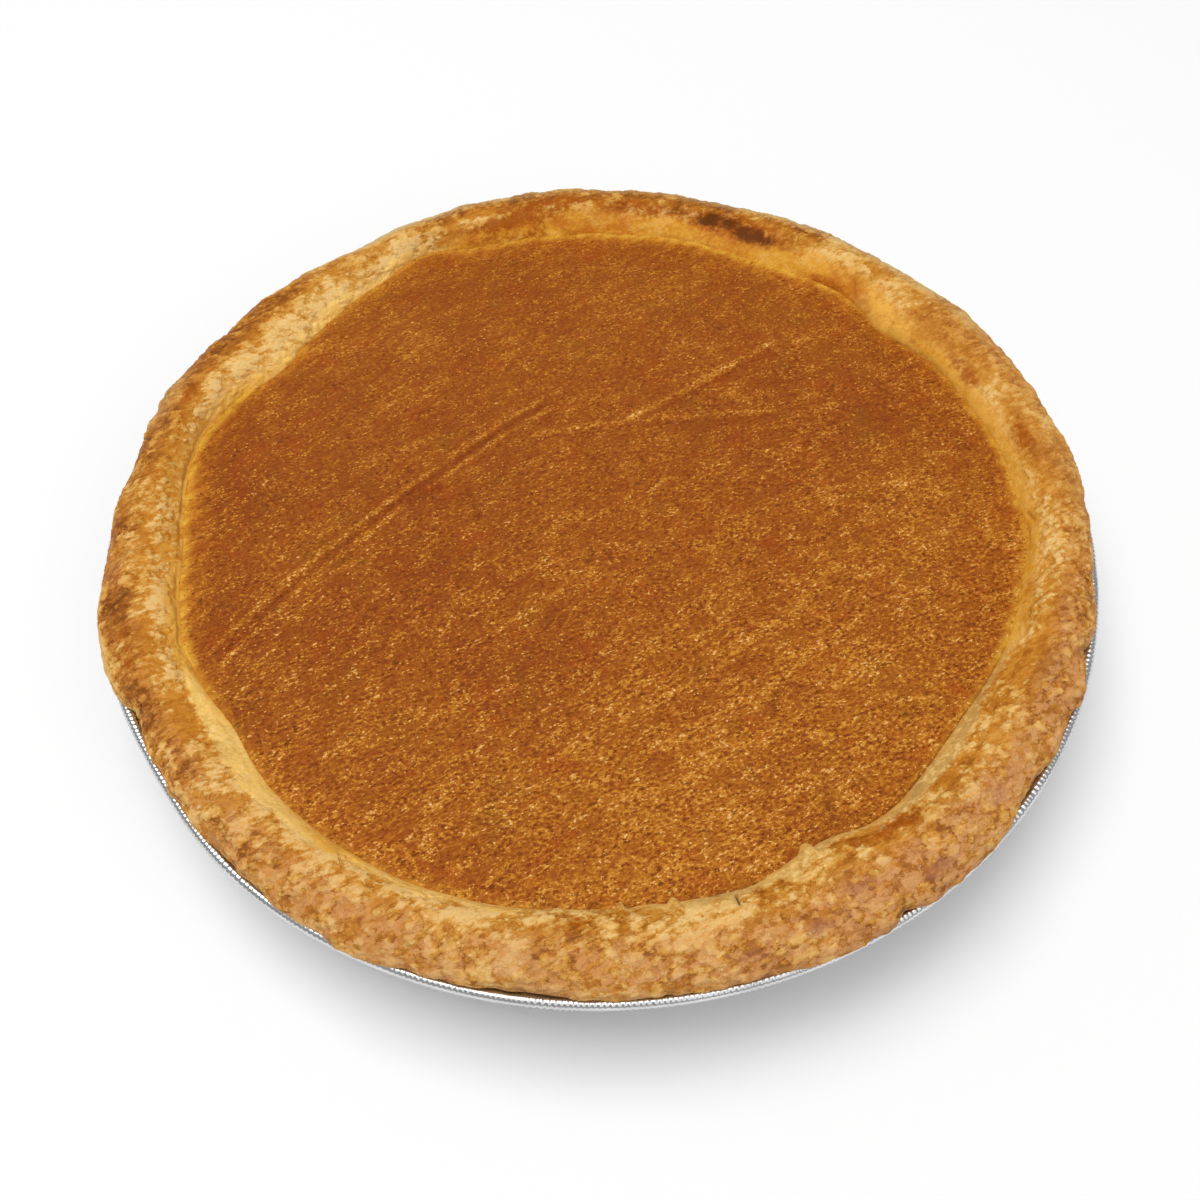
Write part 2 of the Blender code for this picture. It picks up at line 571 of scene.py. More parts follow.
def patches(angles: np.ndarray, across: np.ndarray, rows: tuple) -> np.ndarray:
    """Add up soft patches on the roll.

    Args:
        angles: Array of angles.
        across: Array of places across the roll, -1 outside to 1 at the filling.
        rows: Rows of (angle, across, half angle, half across, amount).

    Returns:
        Array of sums.
    """
    total = np.zeros_like(across, dtype=float)
    for angle, place, half_angle, half_across, amount in rows:
        far = (apart(angles, angle) / half_angle) ** 2 + ((across - place) / half_across) ** 2
        total += amount * np.exp(-far)
    return total


@dataclass(frozen=True)
class PieShape:
    """Sizes of the even, turned pie, and the tables of its unevenness."""

    wall_lean: float = 62.0
    corner_centre: tuple[float, float] = (0.0905, 0.0050)
    corner_radius: float = 0.0050
    rim_height: float = 0.0290
    flange_top: float = 0.0298
    shell: float = 0.0035
    shell_gap: float = 0.0012
    shell_top: float = 0.0180
    roll_centre: tuple[float, float] = (0.1120, 0.0318)
    roll_half_width: float = 0.0089
    roll_half_height: float = 0.0060
    roll_seat: tuple[float, float] = (0.1189, 0.0301)
    filling_edge: float = 0.0320
    filling_swell: float = 0.0009
    outer_edge: tuple = (
        (6.0, 7.0, 0.0009), (25.0, 5.0, 0.0005), (33.0, 8.0, 0.0012), (44.0, 6.0, -0.0005),
        (57.0, 6.0, 0.0004), (70.0, 9.0, -0.0006), (99.0, 8.0, 0.0011), (120.0, 7.0, -0.0008),
        (127.0, 5.0, -0.0018), (137.0, 4.0, -0.0005), (147.5, 2.5, -0.0007), (156.0, 6.0, 0.0010),
        (165.0, 4.0, 0.0008), (173.0, 4.0, -0.0010), (198.5, 5.5, 0.0016), (208.5, 3.0, -0.0014),
        (228.0, 4.0, -0.0008), (263.0, 7.0, -0.0005), (320.0, 5.0, -0.0006), (345.0, 5.0, -0.0004),
    )
    inner_edge: tuple = (
        (8.0, 8.0, 0.0015), (36.0, 6.0, -0.0024), (62.0, 10.0, -0.0022), (84.0, 5.0, -0.0006),
        (118.0, 6.0, 0.0042), (144.0, 10.0, -0.0034), (167.0, 8.0, 0.0032), (188.0, 6.0, -0.0009),
        (202.0, 5.0, 0.0009), (216.0, 6.0, -0.0019), (245.0, 16.0, 0.0012), (276.0, 8.0, -0.0006),
        (296.5, 5.5, -0.0032), (321.0, 13.0, -0.0030), (354.0, 5.0, 0.0024),
    )
    roll_top: tuple = (
        (20.0, 12.0, -0.0004), (48.0, 9.0, -0.0006), (98.0, 12.0, 0.0004), (125.0, 7.0, -0.0009),
        (150.0, 5.0, -0.0005), (187.0, 2.2, -0.0010), (212.0, 9.0, -0.0005), (238.0, 5.0, -0.0004),
        (292.0, 3.0, -0.0008), (318.0, 8.0, -0.0005), (340.0, 9.0, 0.0003),
    )

    def outer(self, angles: np.ndarray) -> np.ndarray:
        """Radius of the roll's outer edge."""
        return self.roll_centre[0] + self.roll_half_width + swell(angles, self.outer_edge)

    def inner(self, angles: np.ndarray) -> np.ndarray:
        """Radius of the seam between the roll and the filling."""
        return self.roll_centre[0] - self.roll_half_width + swell(angles, self.inner_edge)

    def wall(self, depth: float, height: float) -> tuple[float, float]:
        """Find a point of the leaning wall.

        Args:
            depth: How far inside the tin's outer face it lies.
            height: Its height.

        Returns:
            The point (r, z).
        """
        lean = math.radians(self.wall_lean)
        reach = self.corner_radius - depth + (height - self.corner_centre[1]) * math.cos(lean)
        return (self.corner_centre[0] + reach / math.sin(lean), height)

    def corner(self, depth: float, steps: int) -> list[tuple[float, float]]:
        """Draw the lower corner's arc.

        Args:
            depth: How far inside the tin's outer face it lies.
            steps: Number of its straight parts.

        Returns:
            Its points (r, z), from the base to the wall.
        """
        points = []
        for step in range(steps + 1):
            angle = math.radians(-90.0 + self.wall_lean * step / steps)
            reach = self.corner_radius - depth
            points.append((
                self.corner_centre[0] + reach * math.cos(angle),
                self.corner_centre[1] + reach * math.sin(angle),
            ))
        return points


# ---------------------------------------------------------------------------
# The foil tin
# ---------------------------------------------------------------------------


@dataclass(frozen=True)
class FoilFinish:
    """Thin rolled aluminium with fine drawn lines."""

    metal: tuple = shade(222, 222, 222)
    dull: tuple = shade(208, 208, 208)
    roughness: float = 0.27
    cloud_scale: float = 95.0
    wrinkle_scale: float = 420.0
    wrinkle_height: float = 0.00012
    line_scale: float = 2600.0
    line_stretch: float = 9.0
    line_height: float = 0.00003

    def build(self) -> bpy.types.Material:
        """Make the material.

        Returns:
            The material.
        """
        tree = MaterialTree("aluminium_foil", self.roughness)
        tree.feed(tree.shader.inputs["Metallic"], 1.0)
        place = tree.place()
        cloud = tree.noise(place, self.cloud_scale, 3.0, 0.6)
        tint = tree.blend(tree.mapped(cloud, 0.35, 0.65), self.metal, self.dull)
        tree.feed(tree.shader.inputs["Base Color"], tint)
        tree.feed(tree.shader.inputs["Roughness"], tree.mapped(cloud, 0.3, 0.7, 0.21, 0.30))
        wrinkles = tree.noise(place, self.wrinkle_scale, 3.0, 0.55)
        drawn = tree.vector("MULTIPLY", place, (1.0, 1.0, self.line_stretch))
        lines = tree.noise(drawn, self.line_scale / self.line_stretch, 2.0)
        coarse = tree.bump(wrinkles, self.wrinkle_height, 0.6)
        tree.feed(tree.shader.inputs["Normal"], tree.bump(lines, self.line_height, 0.4, coarse))
        return tree.material


@dataclass
class FoilTin:
    """The pressed tin: a ringed base, a pleated wall, a narrow flange and a crimped bead."""

    shape: PieShape
    rim_radius: float = 0.1222
    bead_radius: float = 0.0014
    foil: float = 0.0004
    fillet: float = 0.0020
    base_ring: tuple = ((0.0530, 0.0), (0.0552, 0.0006), (0.0568, 0.0006), (0.0590, 0.0))
    bead_steps: int = 11
    steps_round: int = 2400
    bead_crimps: int = 660
    bead_depth: float = 0.00013
    wall_pleats: int = 96
    wall_depth: float = 0.00085
    stray_scale: float = 9.0
    uneven_scale: float = 31.0
    wander: float = 22.0
    dent_angle: float = 214.5
    dent_half_width: float = 11.0
    dent_depth: float = 0.0013
    finish: FoilFinish = field(default_factory=FoilFinish)

    def section(self) -> tuple[np.ndarray, np.ndarray, np.ndarray, np.ndarray]:
        """Draw the foil's section, from the middle of the base round the bead and back.

        Returns:
            Points (r, 0, z), and for each the depth of the wall's pleats, of the bead's
            crimps, and its share of the dent in the rim.
        """
        shape = self.shape
        lean = math.radians(shape.wall_lean)
        height = shape.flange_top - self.foil - self.fillet
        centre = (shape.wall(0.0, height)[0] + self.fillet / math.sin(lean), height)
        rows = []
        for depth in (0.0, self.foil):
            face = [(0.0, depth, 0.0, 0.0, 0.0)]
            for radius, lift in self.base_ring:
                face.append((radius, depth + lift, 0.0, 0.0, 0.0))
            for radius, level in shape.corner(depth, 2):
                face.append((radius, level, 0.0, 0.0, 0.0))
            for share in (0.35, 0.75):
                radius, level = shape.wall(depth, 0.003 + (height - 0.001) * share)
                face.append((radius, level, 0.25 + 0.75 * share, 0.0, 0.3 * share))
            for step in range(3):
                angle = math.radians(90.0 + shape.wall_lean * (1.0 - step / 2.0))
                reach = self.fillet + depth
                radius, level = centre[0] + reach * math.cos(angle), centre[1] + reach * math.sin(angle)
                face.append((radius, level, 1.0 - 0.4 * step, 0.0, 0.6))
            rows.append(face)
        inset = self.bead_depth
        bead_centre = (self.rim_radius - self.bead_radius, shape.rim_height)
        top = math.degrees(math.asin((shape.flange_top - shape.rim_height) / self.bead_radius))
        low = math.degrees(math.asin((shape.flange_top - shape.rim_height - self.foil) / self.bead_radius))
        bead = []
        last = self.bead_steps
        for step in range(last + 1):
            angle = math.radians(-180.0 - low + (360.0 - top + low) * step / last)
            crimp = min(1.0, step / 3.0, (last - step) / 2.0)
            reach = self.bead_radius - inset
            bead.append((
                bead_centre[0] + reach * math.cos(angle),
                bead_centre[1] + reach * math.sin(angle), 0.0, crimp, 1.0,
            ))
        table = np.array([*rows[0], *bead, *reversed(rows[1])])
        points = np.column_stack([table[:, 0], np.zeros(len(table)), table[:, 1]])
        return points, table[:, 2] * self.wall_depth, table[:, 3] * self.bead_depth, table[:, 4]

    def tree(self, rows: int, material: bpy.types.Material) -> GeometryTree:
        """Lay the tree that turns the section round the axis, pleats the wall and crimps the bead.

        Args:
            rows: Number of points of the section.
            material: The foil.

        Returns:
            The tree, ready to bake.
        """
        tree = GeometryTree("pressed_tin")
        around_steps = tree.size("Steps round", self.steps_round, "NodeSocketInt")
        along = tree.size("Section points", rows, "NodeSocketInt")
        crimps = tree.size("Bead crimps", float(self.bead_crimps))
        pleats = tree.size("Wall pleats", float(self.wall_pleats))
        dent_at = tree.size("Dent angle", math.radians(self.dent_angle))
        dent_width = tree.size("Dent half width", math.radians(self.dent_half_width))
        dent_depth = tree.size("Dent depth", self.dent_depth)
        columns = tree.math("ADD", around_steps, 1.0)
        sheet = tree.add("GeometryNodeMeshGrid", {"Vertices X": columns, "Vertices Y": along})
        index = tree.add("GeometryNodeInputIndex").outputs[0]
        row = tree.math("FLOORED_MODULO", index, along)
        column = tree.math("FLOOR", tree.math("DIVIDE", index, along))
        turn = tree.math("DIVIDE", tree.math("FLOORED_MODULO", column, around_steps), around_steps)
        angle = tree.math("MULTIPLY", turn, math.tau)
        cosine = tree.math("COSINE", angle)
        sine = tree.math("SINE", angle)
        ring = tree.add("ShaderNodeCombineXYZ", {0: cosine, 1: sine, 2: 0.0}).outputs[0]
        stray = tree.noise(ring, self.stray_scale, 3.0, 0.6)
        uneven = tree.noise(ring, self.uneven_scale, 2.0, 0.5)
        wander = tree.math("MULTIPLY", stray, self.wander)
        fold = tree.math("SINE", tree.math("ADD", tree.math("MULTIPLY", angle, pleats), wander))
        fold = tree.math("MULTIPLY", fold, tree.mapped(uneven, 0.3, 0.7, 0.55, 1.0))
        crimp = tree.math("SINE", tree.math("ADD", tree.math("MULTIPLY", angle, crimps), wander))
        crimp = tree.math("MULTIPLY", crimp, tree.mapped(uneven, 0.3, 0.6, 0.4, 1.0))

        def read(name: str, kind: str) -> bpy.types.NodeSocket:
            """Read what the section keeps at this point's row.

            Args:
                name: The name that it is kept under.
                kind: Blender's name of its data type.

            Returns:
                The socket with the value.
            """
            value = tree.kept(name, kind)
            inputs = {"Geometry": tree.entry.outputs["Geometry"], "Value": value, "Index": row}
            return tree.add("GeometryNodeSampleIndex", inputs, data_type=kind, domain="POINT").outputs[0]

        middle = tree.split(read("place", "FLOAT_VECTOR"))
        facing = tree.split(read("facing", "FLOAT_VECTOR"))
        shift = tree.math("MULTIPLY", fold, read("pleat", "FLOAT"))
        shift = tree.math("ADD", shift, tree.math("MULTIPLY", crimp, read("crimp", "FLOAT")))
        away = tree.math("DIVIDE", tree.math("SUBTRACT", angle, dent_at), dent_width)
        dent = tree.math("EXPONENT", tree.math("MULTIPLY", tree.math("MULTIPLY", away, away), -1.0))
        dent = tree.math("MULTIPLY", tree.math("MULTIPLY", dent, dent_depth), read("dent", "FLOAT"))
        radius = tree.math("ADD", middle[0], tree.math("MULTIPLY", shift, facing[0]))
        radius = tree.math("SUBTRACT", radius, dent)
        height = tree.math("ADD", middle[2], tree.math("MULTIPLY", shift, facing[2]))
        inputs = {0: tree.math("MULTIPLY", radius, cosine), 1: tree.math("MULTIPLY", radius, sine), 2: height}
        spot = tree.add("ShaderNodeCombineXYZ", inputs).outputs[0]
        moved = tree.add("GeometryNodeSetPosition", {"Geometry": sheet.outputs[0], "Position": spot})
        inputs = {"Geometry": moved.outputs[0], "Distance": DOUBLES / 2.0}
        joined = tree.add("GeometryNodeMergeByDistance", inputs)
        smooth = tree.add("GeometryNodeSetShadeSmooth", {"Geometry": joined.outputs[0]})
        tree.finish(smooth.outputs[0], material)
        return tree

    def build(self) -> bpy.types.Object:
        """Make the tin.

        Returns:
            The finished tin.
        """
        points, pleat, crimp, dent = self.section()
        side = np.roll(points, -1, axis=0) - np.roll(points, 1, axis=0)
        side[0] = side[-1] = (1.0, 0.0, 0.0)
        facing = np.column_stack([side[:, 2], np.zeros(len(side)), -side[:, 0]])
        facing /= np.linalg.norm(facing, axis=1)[:, None] + 1e-9
        inner_face = (len(points) + self.bead_steps + 1) // 2
        facing[inner_face:] *= -1.0
        mesh = bpy.data.meshes.new("tin_section")
        mesh.from_pydata(points.tolist(), [], [])
        rows = {"place": points, "facing": facing, "pleat": pleat, "crimp": crimp, "dent": dent}
        for name, values in rows.items():
            store(mesh, name, values)
        tin = self.tree(len(points), self.finish.build()).bake("foil_tin_shell", mesh)
        close_up(tin.data)
        return tin


# ---------------------------------------------------------------------------
# The crust
# ---------------------------------------------------------------------------


@dataclass(frozen=True)
class Crease:
    """A furrow on the roll, between two places (angle, across)."""

    start: tuple[float, float]
    end: tuple[float, float]
    width: float
    depth: float
    lip: float = 0.0


@dataclass(frozen=True)
class Flap:
    """A torn tongue of pastry that reaches from the roll's inner edge over the filling."""

    angle: float
    half_width: float
    reach: float
    lift: float


@dataclass(frozen=True)
class FlakePattern:
    """Scalloped pale dabs of two sizes that stand on the smooth golden skin."""

    large_scale: float = 370.0
    small_scale: float = 860.0
    large_reach: float = 0.46
    small_reach: float = 0.30
    small_slope: float = 0.70
    stir_scale: float = 1000.0
    stir_amount: float = 0.0017

    def level(self, tree: Tree, grain: object,
              pale: object) -> tuple[bpy.types.NodeSocket, bpy.types.NodeSocket]:
        """Add the nodes that say how deep inside a dab a place is.

        Args:
            tree: The material's or the Geometry Nodes tree.
            grain: Socket with the place in the pastry's own stretched frame.
            pale: Socket that widens the dabs where it is above zero.

        Returns:
            Sockets with the level, below 0 on the smooth skin, 0 on a dab's edge and rising
            to its middle, and with a random number from 0 to 1 for each chip of a dab.
        """
        ragged = tree.stirred(grain, self.stir_scale, self.stir_amount)
        large, number = tree.cells(ragged, self.large_scale)
        small, chip = tree.cells(tree.vector("ADD", ragged, (0.31, 0.07, 0.13)), self.small_scale)
        large = tree.total((large, -1.0), self.large_reach)
        small = tree.total((small, -self.small_slope), self.small_reach)
        level = tree.total(tree.math("MAXIMUM", large, small), pale)
        return level, tree.total((number, 0.45), (chip, 0.55))


@dataclass(frozen=True)
class PastryFinish:
    """Baked shortcrust: ragged pale flakes over golden and brown skin."""

    pattern: FlakePattern = field(default_factory=FlakePattern)
    fine_scale: float = 1500.0
    feather_scale: float = 560.0
    stroke_scale: float = 1350.0
    stroke_stretch: float = 0.42
    stir_scale: float = 620.0
    stir_amount: float = 0.0014
    relief_height: float = 0.00036
    tones: tuple = (
        (0.0, shade(128, 70, 20)), (0.15, shade(160, 94, 27)), (0.30, shade(183, 115, 36)),
        (0.45, shade(199, 134, 49)), (0.58, shade(209, 149, 64)), (0.70, shade(218, 163, 82)),
        (0.85, shade(229, 180, 102)), (1.0, shade(238, 197, 125)),
    )
    # Painted shade colour for the thin rim just outside each pale flake.
    flake_rim_shade: tuple = shade(140, 82, 26)
    orange: tuple = shade(199, 116, 31)
    yolk: tuple = shade(224, 158, 45)
    dough: tuple = shade(243, 198, 108)
    leaf: tuple = shade(242, 205, 135)
    old_dough: tuple = shade(206, 162, 90)
    burnt: tuple = shade(98, 50, 8)
    ember: tuple = shade(158, 76, 6)
    mauve: tuple = shade(168, 108, 76)
    rose: tuple = shade(211, 152, 98)
    golden: tuple = shade(212, 144, 42)
    # Painted shade colour for the creases and the gaps under the roll's outer edge.
    furrow_shade: tuple = shade(80, 46, 22)
    cream: tuple = shade(206, 176, 118)

    def build(self) -> bpy.types.Material:
        """Make the material.

        Returns:
            The material.
        """
        tree = MaterialTree("baked_pastry", 0.6, 0.06)
        grain = tree.triple("grain")
        pale, scorched, smudged = tree.split(tree.triple("masks"))
        past_bare, past_stain, furrow_shade_share = tree.split(tree.triple("edges"))
        grey, pink, gilded = tree.split(tree.triple("hues"))
        broad, ember, cream = tree.split(tree.triple("tints"))
        crisp = tree.number("crispness")
        level, number = self.pattern.level(tree, grain, pale)
        fine = tree.noise(grain, self.fine_scale, 3.0, 0.65)
        feather = tree.noise(grain, self.feather_scale, 4.0, 0.7, 0.6)
        brushed = tree.stirred(grain, self.stir_scale, self.stir_amount)
        brushed = tree.vector("MULTIPLY", brushed, (self.stroke_stretch, 1.0, 1.0))
        stroke = tree.cells(brushed, self.stroke_scale)[1]
        own = tree.total((number, 0.36), (fine, 0.14), (feather, 0.40), (stroke, 0.30), -0.60)
        edge = tree.mapped(tree.total(level, (own, 0.25)), -0.015, 0.02, 0.0, 0.25)
        step = tree.mapped(tree.total(level, (own, 0.5)), 0.10, 0.13, 0.0, 0.14)
        crown = tree.mapped(tree.total(level, (own, 0.5)), 0.22, 0.26, 0.0, 0.13)
        flaky = tree.math("MULTIPLY", tree.total(edge, step, crown, own, -0.30), crisp)
        tone = tree.total((broad, 0.66), flaky, 0.335)
        skin = tree.steps(tone, self.tones)
        # Painted shade: a thin darker rim just outside each pale dab, where shade falls under the flake's
        # edge.
        skin = tree.blend(tree.mapped(level, -0.07, -0.01, 0.0, 0.06), skin, self.flake_rim_shade)
        honey = tree.blend(tree.mapped(own, -0.25, 0.25, 0.35, 0.95), self.orange, self.golden)
        gilded = tree.math("MULTIPLY", gilded, tree.mapped(tree.total(stroke, level), 0.10, 0.95, 1.15, 0.15))
        skin = tree.blend(gilded, skin, honey)
        pinker = tree.math("MULTIPLY", pink, tree.mapped(number, 0.3, 0.7, 0.10, 0.65))
        skin = tree.blend(pinker, skin, self.rose)
        flecks = tree.mapped(tree.total(level, (feather, 0.5)), 0.08, 0.42, 0.35, 1.1)
        haze = tree.math("MULTIPLY", cream, flecks)
        skin = tree.blend(haze, skin, self.cream)
        ragged = tree.total((level, 0.30), (broad, 0.35), (feather, 0.25), -0.335)
        wall = tree.mapped(tree.total(past_bare, ragged), -0.09, 0.09)
        bare = tree.blend(grey, self.dough, self.old_dough)
        cast = tree.total((broad, 0.5), (fine, 0.2), (feather, 0.5), -0.1)
        bare = tree.scaled(bare, tree.mapped(cast, 0.3, 0.7, 0.74, 1.12))
        leafy = tree.mapped(tree.total(feather, (stroke, 0.2), -0.1), 0.50, 0.66, 0.0, 0.55)
        bare = tree.blend(leafy, bare, self.leaf)
        skin = tree.blend(tree.math("MULTIPLY", wall, 0.92), skin, bare)
        smear = tree.mapped(tree.total(past_stain, (level, 0.30), (broad, 0.4), -0.25), -0.22, 0.22)
        stain = tree.blend(tree.mapped(tree.total(broad, feather, -0.5), 0.35, 0.75), self.orange, self.yolk)
        skin = tree.blend(tree.math("MULTIPLY", smear, 0.72), skin, stain)
        glow = tree.total(ember, (level, -0.6), (feather, -1.6), 0.75)
        glow = tree.math("MULTIPLY", tree.mapped(glow, 0.15, 0.9), tree.mapped(ember, 0.05, 0.5))
        skin = tree.blend(tree.math("MULTIPLY", glow, 0.85), skin, self.ember)
        scorch = tree.total(scorched, (level, -1.0), (broad, -0.7), (feather, -1.5), 1.15)
        scorch = tree.math("MULTIPLY", tree.mapped(scorch, -0.25, 1.45), tree.mapped(scorched, 0.02, 0.50))
        skin = tree.blend(scorch, skin, tree.blend(tree.mapped(scorch, 0.50, 1.10), self.ember, self.burnt))
        rose = tree.total(smudged, (level, -0.9), (feather, -1.8), 0.85)
        rose = tree.math("MULTIPLY", tree.mapped(rose, 0.2, 1.0), tree.mapped(smudged, 0.05, 0.4))
        skin = tree.blend(tree.math("MULTIPLY", rose, 0.55), skin, self.mauve)
        # Painted shade: the creases and the gaps under the roll's outer edge are darkened by their depth.
        skin = tree.blend(tree.mapped(furrow_shade_share, 0.2, 0.9, 0.0, 0.8), skin, self.furrow_shade)
        skin = tree.scaled(skin, tree.mapped(fine, 0.25, 0.75, 0.90, 1.09))
        tree.feed(tree.shader.inputs["Base Color"], skin)
        tree.feed(tree.shader.inputs["Roughness"], tree.mapped(level, -0.05, 0.10, 0.45, 0.68))
        calm = tree.mapped(past_bare, -0.30, 0.20, 0.75, 0.2)
        calm = tree.math("MULTIPLY", calm, tree.mapped(past_stain, -0.25, 0.15, 1.0, 0.35))
        calm = tree.math("MULTIPLY", calm, tree.mapped(crisp, 0.5, 1.0, 0.35, 1.0))
        raised = tree.math("MULTIPLY", tree.mapped(level, -0.12, 0.24), calm)
        crumb = tree.math("MULTIPLY", fine, tree.mapped(wall, 0.0, 1.0, 0.45, 0.08))
        tree.feed(tree.shader.inputs["Normal"], tree.bump(tree.total(raised, crumb), self.relief_height, 0.8))
        return tree.material


